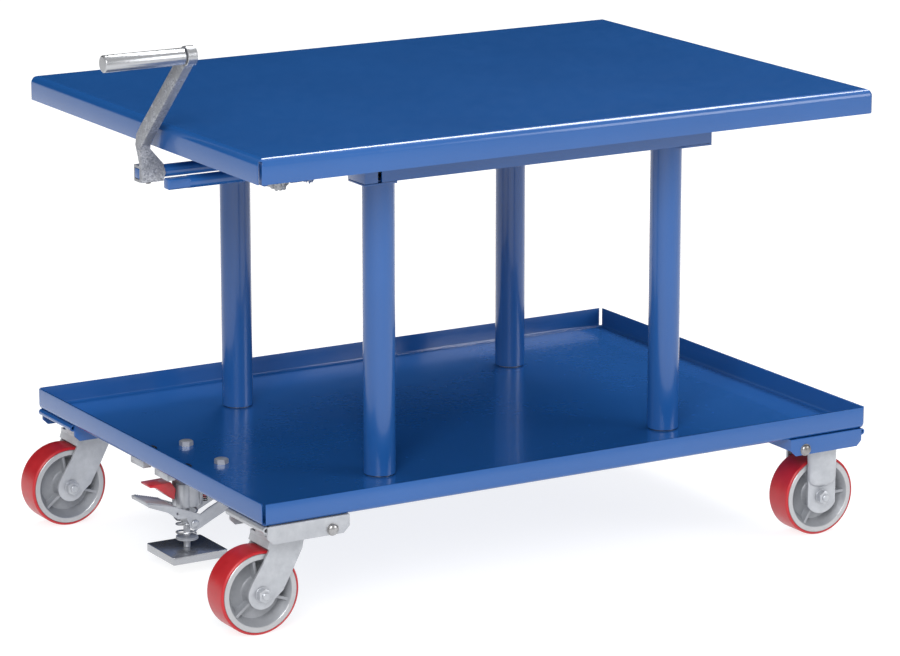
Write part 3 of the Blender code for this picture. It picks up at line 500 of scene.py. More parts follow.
def loft(sections, closed=False):
    """A skin over a row of sections with the same number of corners: a solid, or a closed ring."""
    bm = bmesh.new()
    rows = [[bm.verts.new(corner) for corner in section] for section in sections]
    count = len(rows[0])
    pairs = list(zip(rows, rows[1:]))
    if closed:
        turn = min(range(count), key=lambda t: (rows[-1][0].co - rows[0][t].co).length)
        pairs.append((rows[-1], rows[0][turn:] + rows[0][:turn]))
    for one, two in pairs:
        for i in range(count):
            j = (i + 1) % count
            bm.faces.new((one[i], one[j], two[j], two[i]))
    if not closed:
        bm.faces.new(rows[0])
        bm.faces.new(rows[-1])
    return finish_mesh(bm)


def swept(path, radius, sides, closed=False, ripple=0.0):
    """A round wire or weld bead along a path; ripple swells it at regular steps."""
    points = [Vector(p) for p in path]
    count = len(points)
    rings = []
    travelled = 0.0
    up = None
    for i, point in enumerate(points):
        ahead = points[(i + 1) % count] if closed or i + 1 < count else point
        behind = points[i - 1] if closed or i > 0 else point
        way = (ahead - behind).normalized()
        if up is None:
            up = way.orthogonal().normalized()
        up = (up - way * up.dot(way)).normalized()
        side = way.cross(up)
        if i:
            travelled += (point - points[i - 1]).length
        swell = radius * (1 + ripple * math.cos(2 * math.pi * travelled / WELD_RIPPLE))
        angles = [2 * math.pi * k / sides for k in range(sides)]
        rings.append([point + (up * math.cos(angle) + side * math.sin(angle)) * swell for angle in angles])
    return loft(rings, closed)


def weld_line(start, end):
    """A straight fillet weld with its ripples."""
    start, end = Vector(start), Vector(end)
    steps = max(6, int((end - start).length / 0.001))
    return swept([start.lerp(end, i / steps) for i in range(steps + 1)], 0.0022, 8, ripple=0.16)


def weld_ring(z, around):
    """A fillet weld round an upright tube."""
    path = [(x, y, z) for x, y in arc(0.0, 0.0, around, 0, 360, 150)[:-1]]
    return swept(path, 0.002, 8, closed=True, ripple=0.16)


def helix(radius, low, high, turns, wire, per_turn, sides):
    """A round-wire spring about the Z axis, its end coils closed up."""
    path = []
    count = int(turns * per_turn)
    for i in range(count + 1):
        t = i / count
        angle = 2 * math.pi * turns * t
        eased = t * t * (3 - 2 * t) * 0.35 + t * 0.65
        path.append((radius * math.cos(angle), radius * math.sin(angle), low + (high - low) * eased))
    return swept(path, wire, sides)


def boolean(base, tool, operation):
    """The exact Boolean of two meshes, as a new mesh."""
    target = bpy.data.objects.new("target", base)
    cutter = bpy.data.objects.new("cutter", tool)
    for obj in (target, cutter):
        bpy.context.scene.collection.objects.link(obj)
    modifier = target.modifiers.new("boolean", "BOOLEAN")
    modifier.operation = operation
    modifier.solver = "EXACT"
    modifier.object = cutter
    graph = bpy.context.evaluated_depsgraph_get()
    raw = bpy.data.meshes.new_from_object(target.evaluated_get(graph))
    for obj in (target, cutter):
        bpy.data.objects.remove(obj, do_unlink=True)
    bm = bmesh.new()
    bm.from_mesh(raw)
    bmesh.ops.dissolve_degenerate(bm, dist=2e-6, edges=bm.edges)
    return finish_mesh(bm)


def united(*meshes):
    result = meshes[0]
    for mesh in meshes[1:]:
        result = boolean(result, mesh, "UNION")
    return result


def cut(base, *tools):
    for tool in tools:
        base = boolean(base, tool, "DIFFERENCE")
    return base


def place(name, meshes, material, body, stands_for="", bevel=0.0, segments=2, sharp=35):
    """One finished piece: joined, bevelled, shaded, moved to the CAD's place and fixed to its body."""
    mesh = joined(meshes if isinstance(meshes, list) else [meshes])
    obj = bpy.data.objects.new(name, mesh)
    bpy.context.scene.collection.objects.link(obj)
    if bevel > 0.0:
        modifier = obj.modifiers.new("bevel", "BEVEL")
        modifier.width = bevel
        modifier.segments = segments
        modifier.limit_method = "ANGLE"
        modifier.angle_limit = math.radians(32)
        modifier.use_clamp_overlap = True
        graph = bpy.context.evaluated_depsgraph_get()
        rounded = bpy.data.meshes.new_from_object(obj.evaluated_get(graph))
        obj.modifiers.clear()
        obj.data = rounded
    obj.data.name = name
    obj.data.shade_smooth()
    obj.data.set_sharp_from_angle(angle=math.radians(sharp))
    obj.data.materials.clear()
    obj.data.materials.append(material)
    obj.location = MIDDLE
    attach(obj, body)
    if stands_for:
        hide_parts(stands_for)


# ---------------------------------------------------------------- formed sheet
def rounded_rectangle(length, width, radius, steps=6):
    """Outline of a centred rectangle with round corners."""
    points = []
    for sx, sy, start in ((1, 1, 0), (-1, 1, 90), (-1, -1, 180), (1, -1, 270)):
        points += arc(sx * (length / 2 - radius), sy * (width / 2 - radius), radius, start, start + 90, steps)
    return points


def rounded_slab(length, width, height, radius, corner, steps=9):
    """A slab with rounded upper edges and rounded upright corners."""
    sections = [[(x, y, 0.0) for x, y in rounded_rectangle(length, width, corner)]]
    for i in range(steps + 1):
        angle = math.pi / 2 * i / steps
        inset = radius * (1 - math.cos(angle))
        z = height - radius + radius * math.sin(angle)
        outline = rounded_rectangle(length - 2 * inset, width - 2 * inset, max(corner - inset, 0.0005))
        sections.append([(x, y, z) for x, y in outline])
    return loft(sections)


def formed_pan(length, width, height, sheet, radius):
    """A folded sheet pan, open below, with a relief slit at each corner; its top is at z = height."""
    outer = rounded_slab(length, width, height, radius, CORNER_RADIUS)
    inner = rounded_slab(length - 2 * sheet, width - 2 * sheet, height - sheet + 0.01, radius - sheet,
                         CORNER_RADIUS - sheet)
    shell = cut(outer, moved(inner, z=-0.01))
    reach = radius * 1.1
    for sx in (-1, 1):
        for sy in (-1, 1):
            slit = box((-reach, reach), (-CORNER_SLIT / 2, CORNER_SLIT / 2), (-0.01, height - sheet * 1.2))
            slit.transform(Matrix.Rotation(math.atan2(sy, sx), 4, "Z"))
            shell = cut(shell, moved(slit, sx * length / 2, sy * width / 2))
    return shell


def make_tabletop(paint):
    """The folded top."""
    size = TOP_HIGH - TOP_LOW
    pan = moved(formed_pan(size.x, size.y, size.z, TOP_SHEET, TOP_BEND), z=TOP_LOW.z)
    place("tabletop_pan", pan, paint, "table", "tabletop", 0.0005)


def make_deck(paint, zinc, dark):
    """The lower deck, the same folded pan turned over, and the heads of the floor lock's bolts."""
    size = DECK_HIGH - DECK_LOW
    tray = formed_pan(size.x, size.y, size.z, SHEET, DECK_BEND)
    tray = moved(turned_by(tray, 180, "X"), z=DECK_HIGH.z)
    place("deck_tray_folded", tray, paint, "chassis", "deck_tray", 0.0005)
    floor = DECK_LOW.z + SHEET
    # The outer pair of heads is painted shade: the same bolts as the zinc inner pair, given the black finish
    # because they sit in shade behind the end flange.
    for x, name, across, height, finish in zip(LOCK_BOLTS_X, ("inner", "outer"), (0.0187, 0.0165),
                                               (0.0076, 0.0062), (zinc, dark)):
        heads = [moved(hexagon(across, floor, floor + height, crowned=0.0009), x, y)
                 for y in (-LOCK_BOLTS_Y, LOCK_BOLTS_Y)]
        place("deck_bolts_" + name, heads, finish, "chassis")


# ---------------------------------------------------------------- frame under the tabletop
def make_side_rails(paint):
    """Channels with closed ends, notched round the posts and slotted, and their welds to the tabletop."""
    near_low, near_high = RAIL_LOW.y, RAIL_HIGH.y
    bottom, top, end = RAIL_LOW.z, RAIL_HIGH.z, RAIL_HIGH.x
    rail = box((-end, end), (near_low, near_high), (bottom, top))
    rail = cut(rail, box((SHEET - end, end - SHEET), (near_low + SHEET, near_high + 0.01),
                         (bottom + SHEET, top - SHEET)))
    rail = cut(rail, box((-0.2803, -0.2737), (near_low - 0.01, near_low + SHEET + 0.002),
                         (bottom - 0.01, bottom + 0.0164)))
    for sx in (-1, 1):
        rail = cut(rail, moved(rod(0.027, bottom - 0.01, bottom + 0.01), sx * POST_X, -POST_Y))
    welds = []
    for x in (-0.22, -0.075, 0.075, 0.22):
        welds.append(weld_line(*((x + reach, near_low - 0.0003, top - 0.0012) for reach in (-0.02, 0.02))))
    for side, sy in SIDES:
        place("rail_channel_" + side, mirrored(rail, -sy), paint, "table",
              "side_rail_" + side, 0.0005)
        place("rail_welds_" + side, [mirrored(weld, -sy) for weld in welds], paint, "table")


def make_cross_members(paint):
    """The two channels between the side rails."""
    for end, sx in ENDS:
        low, high = span("cross_member_" + end)
        web, lip = (low.x, high.x) if sx > 0 else (high.x, low.x)
        channel = box((low.x, high.x), (low.y, high.y), (low.z, high.z))
        inner = sorted((web + sx * SHEET, lip + sx * 0.01))
        channel = cut(channel, box(inner, (low.y - 0.01, high.y + 0.01), (low.z + SHEET, high.z - SHEET)))
        place("cross_channel_" + end, channel, paint, "table", "cross_member_" + end, 0.0005)


def make_outer_post(corner, sx, sy, paint):
    """The outer tube, the plate on its upper end, two corners cut off, and the weld between them."""
    x, y = sx * POST_X, sy * POST_Y
    plate_low = POST_TOP - PLATE_SHEET
    shell = tube(POST_RADIUS, POST_RADIUS - POST_WALL, POST_BOTTOM, plate_low + 0.001, steps=96, edge=0.0004)
    low, high = span("post_tube_" + corner)
    outer_x, inner_x = [abs(edge - x) for edge in (high.x, low.x)[::sx]]
    outer_y, inner_y = [abs(edge - y) for edge in (high.y, low.y)[::sy]]
    outline = [(outer_x, outer_y), (-0.004, outer_y), (-inner_x, 0.014), (-inner_x, -inner_y),
               (0.022, -inner_y), (outer_x, 0.0)]
    plate = prism([(sx * u, sy * v) for u, v in outline], plate_low, POST_TOP)
    plate = cut(plate, rod(0.0122, plate_low - 0.01, POST_TOP + 0.01))
    weld = weld_ring(plate_low - 0.0008, POST_RADIUS + 0.0006)
    place("post_outer_" + corner, moved(shell, x, y), paint, "table", "post_tube_" + corner)
    place("post_plate_" + corner, moved(plate, x, y), paint, "table", bevel=0.0005)
    place("post_weld_" + corner, moved(weld, x, y), paint, "table")


def make_guide(corner, x, y, zinc, brass):
    """The inner tube that stands on the deck, and the nut in its upper end."""
    outer, bore, rim = GUIDE_RADIUS, GUIDE_RADIUS - GUIDE_WALL, GUIDE_HIGH.z
    guide = turned([(bore, GUIDE_LOW.z), (outer, GUIDE_LOW.z), (outer, rim - 0.001), (outer - 0.001, rim),
                    (bore, rim)], steps=96)
    place("guide_sleeve_" + corner, moved(guide, x, y), zinc, "chassis",
          "guide_tube_" + corner)
    low, high = span("lift_nut_" + corner)
    nut = turned([(0.0113, low.z), (0.0157, low.z), (0.0162, low.z + 0.0005), (0.0162, rim + 0.0003),
                  (0.019, rim + 0.0003), (0.0195, rim + 0.0008), (0.0195, high.z - 0.0008), (0.0187, high.z),
                  (0.0113, high.z)])
    place("bronze_nut_" + corner, moved(nut, x, y), brass, "chassis", "lift_nut_" + corner)


def make_bearing(corner, x, y, greased):
    """A ball thrust bearing: two races with the balls between them."""
    low, high = span("thrust_bearing_" + corner)
    middle = (low.z + high.z) / 2
    race, ball_ring, balls = 0.004, 0.0168, 14
    parts = [tube(0.0215, 0.0116, bottom, bottom + race, edge=0.0006) for bottom in (low.z, high.z - race)]
    for i in range(balls):
        angle = 2 * math.pi * i / balls
        ball = turned(arc(0.0, 0.0, 0.0019, -90, 90, 8), steps=12)
        parts.append(moved(ball, ball_ring * math.cos(angle), ball_ring * math.sin(angle), middle))
    place("ball_thrust_" + corner, [moved(part, x, y) for part in parts], greased, "table",
          "thrust_bearing_" + corner)


def threaded_screw():
    """Lifting screw: square-form thread below its collar, plain above it."""
    around, per_lead = 16, 5
    bottom, collar = SCREW_LOW.z, SCREW_COLLAR
    rings = []
    for i in range(int((collar - 0.004 - bottom) / SCREW_LEAD * per_lead) + 1):
        z = bottom + SCREW_LEAD * i / per_lead
        ring = []
        for k in range(around):
            phase = (i / per_lead - k / around) % 1.0
            radius = 0.011 if phase < 0.5 else 0.0094
            angle = 2 * math.pi * k / around
            ring.append((radius * math.cos(angle), radius * math.sin(angle), z))
        rings.append(ring)
    top = turned([(0.0, collar - 0.005), (0.0108, collar - 0.005), (0.0108, collar), (0.0174, collar),
                  (0.018, collar + 0.0006), (0.018, collar + 0.0071), (0.0174, collar + 0.0077),
                  (0.011, collar + 0.0077), (0.011, SCREW_HIGH.z - 0.001), (0.01, SCREW_HIGH.z),
                  (0.0, SCREW_HIGH.z)], steps=40)
    return joined([loft(rings), top])


def make_posts(paint, greased, zinc, brass):
    """At each corner: outer post, guide tube with its nut, bearing, screw and chain wheel."""
    for corner, sx, sy in CORNERS:
        x, y = sx * POST_X, sy * POST_Y
        make_outer_post(corner, sx, sy, paint)
        make_guide(corner, x, y, zinc, brass)
        make_bearing(corner, x, y, greased)
        body = "screw_" + corner
        place("jack_screw_" + corner, moved(threaded_screw(), x, y), greased, body,
              "lift_screw_" + corner)
        wheel = chain_wheel(TEETH_BIG, "Z", CHAIN_MIDDLE, 0.0113, 0.0165)
        place("chain_wheel_" + corner, moved(wheel, x, y), greased, body,
              "screw_sprocket_" + corner, 0.0003)


# ---------------------------------------------------------------- chains and chain wheels
def pitch_radius(teeth):
    """Radius of the circle that the chain's pins run on."""
    return CHAIN_PITCH / (2 * math.sin(math.pi / teeth))


def tooth_outline(teeth):
    """Roller seats and pointed teeth of a chain wheel."""
    ring = pitch_radius(teeth)
    outline = []
    for i in range(teeth):
        middle = 360.0 * i / teeth
        seat_x = ring * math.cos(math.radians(middle))
        seat_y = ring * math.sin(math.radians(middle))
        outline += arc(seat_x, seat_y, ROLLER_RADIUS + 0.0001, middle - 112, middle - 248, 6)
        for step, reach in ((0.36, 0.0017), (0.44, 0.0032), (0.56, 0.0032), (0.64, 0.0017)):
            angle = math.radians(middle + 360.0 * step / teeth)
            outline.append(((ring + reach) * math.cos(angle), (ring + reach) * math.sin(angle)))
    return sorted(outline, key=lambda p: math.atan2(p[1], p[0]))


def chain_wheel(teeth, axis, middle, bore, hub):
    """A chain wheel about its middle plane, with a hub on its lower side."""
    low, high = middle - WHEEL_THICK / 2, middle + WHEEL_THICK / 2
    wheel = prism(tooth_outline(teeth), low, high, axis)
    if hub > 0.0:
        wheel = united(wheel, rod(hub, low - 0.0055, high + 0.001, axis))
    return cut(wheel, rod(bore, middle - 0.05, middle + 0.05, axis))


def tangent_loop(wheels):
    """The closed line of a chain's pins round some wheels, each (u, v, teeth), as points one pitch apart."""
    points = []
    for u, v, teeth in wheels:
        points += arc(u, v, pitch_radius(teeth), 0, 357, 119)
    points = sorted(set(points))
    chains = []
    for ordered in (points, points[::-1]):
        chain = []
        for p in ordered:
            while len(chain) > 1:
                a, b = chain[-2], chain[-1]
                if (b[0] - a[0]) * (p[1] - a[1]) - (b[1] - a[1]) * (p[0] - a[0]) > 1e-12:
                    break
                chain.pop()
            chain.append(p)
        chains.append(chain[:-1])
    hull = [Vector(p) for p in chains[0] + chains[1]]
    lengths = [(hull[(i + 1) % len(hull)] - hull[i]).length for i in range(len(hull))]
    count = 2 * round(sum(lengths) / CHAIN_PITCH / 2)
    pitch = sum(lengths) / count
    pins = []
    index, used = 0, 0.0
    for i in range(count):
        target = i * pitch
        while used + lengths[index] < target - 1e-9:
            used += lengths[index]
            index += 1
        share = (target - used) / lengths[index]
        pins.append(hull[index].lerp(hull[(index + 1) % len(hull)], share))
    return pins


def roller_chain(wheels, middle, axis):
    """Rollers, pins and waisted plates of a 1/2 inch pitch chain, its middle plane at the given depth."""
    pins = tangent_loop(wheels)
    solids = []
    for i, pin in enumerate(pins):
        after = pins[(i + 1) % len(pins)]
        along = (after - pin).normalized()
        across = Vector((-along.y, along.x))
        length = (after - pin).length
        outer = i % 2 == 0
        outline = []
        for centre, first in ((0.0, 90), (length, -90)):
            for a, b in arc(centre, 0.0, 0.0053, first, first + 180, 6):
                point = pin + along * a + across * b
                outline.append((point.x, point.y))
            waist = pin + along * (length / 2) + across * (0.004 if centre else -0.004)
            outline.append((waist.x, waist.y))
        near, far = (0.0033, 0.004) if outer else (0.0025, 0.0032)
        for way in (-1, 1):
            low, high = sorted((middle + way * near, middle + way * far))
            solids.append(prism(outline, low, high, axis))
        shift = lift_point(axis, pin.x, pin.y, 0.0)
        solids.append(moved(rod(ROLLER_RADIUS, middle - 0.0024, middle + 0.0024, axis, 12), *shift))
        solids.append(moved(rod(0.0019, middle - 0.0046, middle + 0.0046, axis, 8), *shift))
    return joined(solids)


# ---------------------------------------------------------------- input drive and crank
def mitre_wheel(axis, large, small, direction):
    """A mitre gear with straight tapering teeth; its hub stands behind the large end."""
    teeth, outer, taper, hub = 16, 0.0242, 0.56, 0.0068
    tooth = ((0.0, 0.84), (0.24, 0.84), (0.4, 0.93), (0.5, 1.0), (0.74, 1.0), (0.84, 0.93))
    rings = []
    for height, scale in ((large, 1.0), (small, taper)):
        ring = []
        for i in range(teeth):
            for fraction, radius in tooth:
                angle = 2 * math.pi * (i + fraction) / teeth
                r = outer * radius * scale
                ring.append(lift_point(axis, r * math.cos(angle), r * math.sin(angle), height))
        rings.append(ring)
    low, high = sorted((large - hub * direction, large + 0.001 * direction))
    return united(loft(rings), rod(0.015, low, high, axis, edge=0.0006))


def drive_shaft(outer_end, square_length, inner_end):
    """A round shaft with a square milled on its outer end, the square's corners broken."""
    half, bevel, nose = 0.00795, 0.0018, 0.86
    square = [(-half + bevel, -half), (half - bevel, -half), (half, -half + bevel), (half, half - bevel),
              (half - bevel, half), (-half + bevel, half), (-half, half - bevel), (-half, -half + bevel)]
    milled = loft([[(outer_end, u * nose, v * nose) for u, v in square],
                   [(outer_end + 0.0016, u, v) for u, v in square],
                   [(outer_end + square_length + 0.001, u, v) for u, v in square]])
    return united(rod(SHAFT_RADIUS, outer_end + square_length, inner_end, "X", edge=0.0008), milled)


def make_input_drive(paint, greased, zinc):
    """The two input shafts, their wheels and chain, the upright jack shaft and the chain of the screws."""
    pinion = FAST_HIGH.x - MITRE_FACE
    fast = united(drive_shaft(FAST_LOW.x, FAST_SQUARE, pinion + 0.005),
                  mitre_wheel("X", pinion, FAST_HIGH.x, 1))
    place("fast_shaft_keyed", moved(fast, 0.0, FAST_Y, SHAFT_Z), paint, "fast_shaft",
          "fast_input_shaft", 0.0002)
    slow = drive_shaft(SLOW_END, SLOW_SQUARE, span("slow_input_shaft")[1].x)
    place("slow_shaft_keyed", moved(slow, 0.0, SLOW_Y, SHAFT_Z), paint, "slow_shaft",
          "slow_input_shaft", 0.0002)
    for name, y, teeth, hub, finish in (("fast_shaft", FAST_Y, TEETH_BIG, 0.0145, zinc),
                                        ("slow_shaft", SLOW_Y, TEETH_SMALL, 0.0, greased)):
        wheel = chain_wheel(teeth, "X", INPUT_CHAIN_X, SHAFT_RADIUS, hub)
        place(name + "_wheel", moved(wheel, 0.0, y, SHAFT_Z), finish, name, bevel=0.0003)
    chain = roller_chain([(FAST_Y, SHAFT_Z, TEETH_BIG), (SLOW_Y, SHAFT_Z, TEETH_SMALL)], INPUT_CHAIN_X, "X")
    place("input_roller_chain", chain, zinc, "table", "input_chain")

    jack_low, jack_high = span("jack_shaft")
    gear = jack_low.z + MITRE_FACE
    shaft = united(mitre_wheel("Z", gear, jack_low.z, -1),
                   rod(0.008, gear - 0.005, jack_high.z, "Z", edge=0.0006))
    place("jack_shaft_keyed", moved(shaft, JACK.x, JACK.y), paint, "jack", "jack_shaft", 0.0002)
    wheel = chain_wheel(TEETH_BIG, "Z", CHAIN_MIDDLE, 0.008, 0.014)
    place("jack_chain_wheel", moved(wheel, JACK.x, JACK.y), paint, "jack", bevel=0.0003)
    wheels = [(sx * POST_X, sy * POST_Y, TEETH_BIG) for _, sx, sy in CORNERS]
    wheels.append((JACK.x, JACK.y, TEETH_BIG))
    place("lift_roller_chain", roller_chain(wheels, CHAIN_MIDDLE, "Z"), paint, "table",
          "lift_chain")


def make_bracket(paint, zinc):
    """The folded hanger with two bushed bearings, the jack shaft's shelf and its bolts."""
    low, high = BRACKET_LOW, BRACKET_HIGH
    plate, rear, shelf_z = 0.006, -0.346, 0.664
    front, top, bottom = low.x, high.z, SHAFT_Z - 0.013
    outline = [(front, bottom), (front + plate, bottom), (front + plate, top - plate), (rear, top - plate),
               (rear, bottom), (rear + plate, bottom), (rear + plate, top), (front, top)]
    shelf = box((rear + 0.001, high.x), (low.y + 0.002, FAST_Y + 0.024), (shelf_z, shelf_z + plate))
    bracket = united(prism(outline, low.y, high.y, "Y"), shelf)
    for y in (FAST_Y, SLOW_Y):
        boss = rod(0.02, rear - 0.006, rear + 0.012, "X", edge=0.0008)
        bracket = united(bracket, moved(boss, 0.0, y, SHAFT_Z))
    for y in (FAST_Y, SLOW_Y):
        bracket = cut(bracket, moved(rod(0.0098, front - 0.01, rear + 0.03, "X"), 0.0, y, SHAFT_Z))
    bracket = cut(bracket, moved(rod(0.0083, shelf_z - 0.014, shelf_z + 0.026), JACK.x, JACK.y))
    place("shaft_hanger", bracket, paint, "table", "shaft_bracket", 0.0005)
    bolts = []
    for y in (low.y + 0.008, high.y - 0.008):
        head = hexagon(0.013, rear + plate, rear + plate + 0.0055, "X", crowned=0.001)
        bolts.append(moved(head, 0.0, y, SHAFT_Z + 0.042))
    place("hanger_bolts", bolts, zinc, "table")


def crank_arm():
    """Neck flaring beside the square socket, and the bent arm; each station is one section of them."""
    throw_y, throw_z = GRIP.y - SLOW_Y, GRIP.z - SHAFT_Z
    stations = [(-0.0122, -0.012, 0, 0.0355, 0.0064), (-0.0122, 0.0, 0, 0.0395, 0.0064),
                (-0.0115, 0.015, 0, 0.035, 0.007), (-0.0085, 0.028, 0, 0.024, 0.011),
                (-0.0055, 0.04, 15, 0.0155, 0.019), (-0.0095, 0.052, 36, 0.014, 0.023),
                (-0.026, 0.069, 45, 0.014, 0.023),
                (throw_y + 0.006, throw_z - 0.0058, 46, 0.014, 0.022)]
    sections = []
    for y, z, lean, width, thick in stations:
        side = Vector((0.0, math.cos(math.radians(lean)), math.sin(math.radians(lean)))) * thick / 2
        middle = Vector((0.0, y, z))
        near, far = middle - side, middle + side
        reach = Vector((width, 0.0, 0.0))
        sections.append([near, near + reach, far + reach, far])
    eye = moved(rod(0.0142, 0.0004, EYE_WIDTH - 0.0002, "X", edge=0.0006), 0.0, throw_y, throw_z)
    half, hole = 0.0123, 0.00825
    socket = box((0.0, 0.0392), (-0.01, half - 0.003), (-half, half))
    return cut(united(loft(sections), socket, eye), box((-0.01, 0.06), (-hole, hole), (-hole, hole)))


def make_crank(cast, steel, dark):
    """Arm, eye ring, stud and set screw, which turn with the slow shaft, and the revolving grip."""
    place("crank_arm", moved(crank_arm(), SLOW_END, SLOW_Y, SHAFT_Z), cast, "slow_shaft",
          "crank_handle", 0.0005)
    width = EYE_WIDTH
    ring = turned([(0.0136, 0.0), (0.014, 0.0), (0.0145, 0.0005), (0.0145, width - 0.0005), (0.014, width),
                   (0.012, width), (0.012, width - 0.0004), (0.0136, width - 0.0004)], "X", 72)
    place("crank_eye_ring", moved(ring, SLOW_END, GRIP.y, GRIP.z), steel, "slow_shaft")
    stud = joined([rod(0.006, -0.118, 0.0005, "X"),
                   rod(0.007, width - 0.0002, width + 0.0012, "X", edge=0.0006)])
    place("grip_stud", moved(stud, SLOW_END, GRIP.y, GRIP.z), steel, "slow_shaft")
    screw = united(rod(0.0042, -0.0165, -0.011, "Z", 24, 0.0004), rod(0.003, -0.012, -0.0086, "Z", 24))
    screw = cut(screw, hexagon(0.004, -0.018, -0.014))
    place("socket_set_screw", moved(screw, SLOW_END + 0.018, SLOW_Y, SHAFT_Z), dark,
          "slow_shaft")
    low, high = GRIP_LOW.x, GRIP_HIGH.x
    radius, bore, nose = (GRIP_HIGH.y - GRIP_LOW.y) / 2, 0.0064, 0.0022
    profile = [(0.0, low)] + [(radius - nose + u, low + nose + v) for u, v in arc(0.0, 0.0, nose, -90, 0, 6)]
    profile += [(radius, high - 0.0018), (radius - 0.0006, high - 0.0006), (radius - 0.0016, high),
                (bore, high), (bore, low + 0.006), (0.0, low + 0.006)]
    place("crank_grip_turned", moved(turned(profile, "X", 72), 0.0, GRIP.y, GRIP.z), steel,
          "grip", "crank_grip")


# ---------------------------------------------------------------- casters
def side_plates(outline, inner, outer):
    """Two upright plates of one outline, the same distance out on both sides of the middle plane."""
    return [prism(outline, *sorted((side * inner, side * outer)), "Y") for side in (-1, 1)]


def caster_plate(swivel):
    """A pressed caster plate for the right end: turned-down sides, and a swivel seat or an inner lip."""
    top, bottom = PLATE_HIGH.z, PLATE_LOW.z
    inner, outer = PLATE_LOW.x, PLATE_HIGH.x
    half, sheet = PLATE_HALF, PLATE_SHEET
    flange = [(inner, top), (inner, bottom + 0.01), (inner + 0.01, bottom), (outer - 0.015, bottom),
              (outer - 0.0064, bottom + 0.0084), (outer - 0.0064, top)]
    plate = box((inner, outer - 0.008), (-half, half), (top - sheet, top))
    plate = united(plate, *side_plates(flange, half - sheet, half))
    if not swivel:
        lip = box((inner, inner + sheet), (-half + 0.0005, half - 0.0005), (bottom + 0.009, top))
        return united(plate, lip)
    seat = tube(0.038, KING_BORE, CROWN_TOP + 0.0108, top - 0.002, edge=0.001)
    plate = united(plate, moved(seat, -KING_X))
    return cut(plate, moved(rod(KING_BORE, 0.1, 0.2), -KING_X))


def rolled_edge():
    """The plate's outer edge rolled under into an open curl."""
    top, outer = PLATE_HIGH.z, PLATE_HIGH.x
    thick, radius, half = 0.0022, 0.0052, 0.058
    cx, cz = outer - radius + 0.0002, top - radius
    outline = arc(cx, cz, radius, 100, -190, 24) + arc(cx, cz, radius - thick, -190, 100, 24)
    lip = [(outer - 0.01, top), (cx - 0.0012, top), (cx - 0.0012, top - thick), (outer - 0.01, top - thick)]
    return united(prism(outline, -half, half, "Y"), prism(lip, -half, half, "Y"))


def dome_bolt(side):
    """A domed lock bolt on a plate's flange, with its washer."""
    face = side * PLATE_HALF
    profile = [(0.0, face - side * 0.001), (0.0094, face - side * 0.001), (0.0094, face + side * 0.0008),
               (0.0088, face + side * 0.001)]
    profile += [(0.0086 * math.cos(a), face + side * (0.001 + 0.0048 * math.sin(a)))
                for a in (math.radians(degrees) for degrees in range(0, 90, 9))]
    profile.append((0.0, face + side * 0.0058))
    return moved(turned(profile, "Y", 48), PLATE_LOW.x + 0.028, 0.0, 0.1537)


def swivel_leg():
    """Outline of a raked leg, about the kingpin."""
    outline = [(0.023, CROWN_TOP), (0.019, 0.124), (0.005, 0.097), (-0.013, 0.065)]
    outline += arc(-SWIVEL_TRAIL, WHEEL_RADIUS, 0.0225, -25, -205, 18)
    return outline + [(-0.064, 0.08), (-0.044, 0.111), (-0.0355, 0.127), (-0.033, CROWN_TOP)]


def swivel_fork():
    """A raked fork: crown with a turned-down front lip, two legs and the lower race."""
    outer = FORK_INNER + FORK_SHEET
    crown = box((-0.0345, 0.0225), (-outer, outer), (CROWN_TOP - 0.005, CROWN_TOP))
    disc = rod(0.0345, CROWN_TOP - 0.005, CROWN_TOP, "Z", 64)
    race = tube(0.037, 0.006, CROWN_TOP - 0.001, CROWN_TOP + 0.0104, edge=0.001)
    lip = [(-0.033, CROWN_TOP - 0.001), (-0.0378, 0.13), (-0.035, 0.129), (-0.03, CROWN_TOP - 0.001)]
    fork = united(crown, disc, race, *side_plates(swivel_leg(), FORK_INNER, outer),
                  prism(lip, -outer + 0.0002, outer - 0.0002, "Y"))
    return cut(fork, moved(rod(AXLE_BORE, -0.05, 0.05, "Y"), -SWIVEL_TRAIL, 0.0, WHEEL_RADIUS))


def rigid_fork():
    """A straight fork: each leg has a half-round rib pressed down to just above the axle."""
    outer = FORK_INNER + FORK_SHEET
    half = 0.026
    top = span("caster_fork_far_right")[1].z
    fork = box((-half - 0.012, half + 0.012), (-outer - 0.013, outer + 0.013), (top - 0.0045, top))
    leg = [(-half, top), (half, top)] + arc(0.0, 0.067, 0.0305, -32, -148, 18)
    for side, upright in zip((-1, 1), side_plates(leg, FORK_INNER, outer)):
        profile = [(0.0, top - 0.001), (half - 0.0006, top - 0.001)]
        profile += [((half - 0.0006) * math.cos(a), 0.0935 + 0.014 * math.sin(a))
                    for a in (math.radians(degrees) for degrees in range(0, -90, -9))]
        profile.append((0.0, 0.0795))
        rib = turned(profile, "Z", 64)
        rib.transform(Matrix.Diagonal((1.0, 0.0104 / half, 1.0, 1.0)))
        outside = sorted((side * (outer - 0.0012), side * 0.06))
        rib = boolean(moved(rib, 0.0, side * outer), box((-0.04, 0.04), outside, (0.05, 0.2)), "INTERSECT")
        fork = united(fork, upright, rib)
    return cut(fork, moved(rod(AXLE_BORE, -0.05, 0.05, "Y"), 0.0, 0.0, WHEEL_RADIUS))


def wheel_tread():
    """The polyurethane tyre, its shoulders rounded."""
    half, shoulder = WHEEL_HALF, 0.0042
    profile = [(0.059, -half + 0.0016), (0.0604, -half + 0.0006)]
    profile += arc(TREAD_RADIUS - shoulder, -half + 0.0046, shoulder, -80, 0, 8)
    profile += [(r, -y) for r, y in profile[::-1]]
    return turned(profile, "Y", 96)


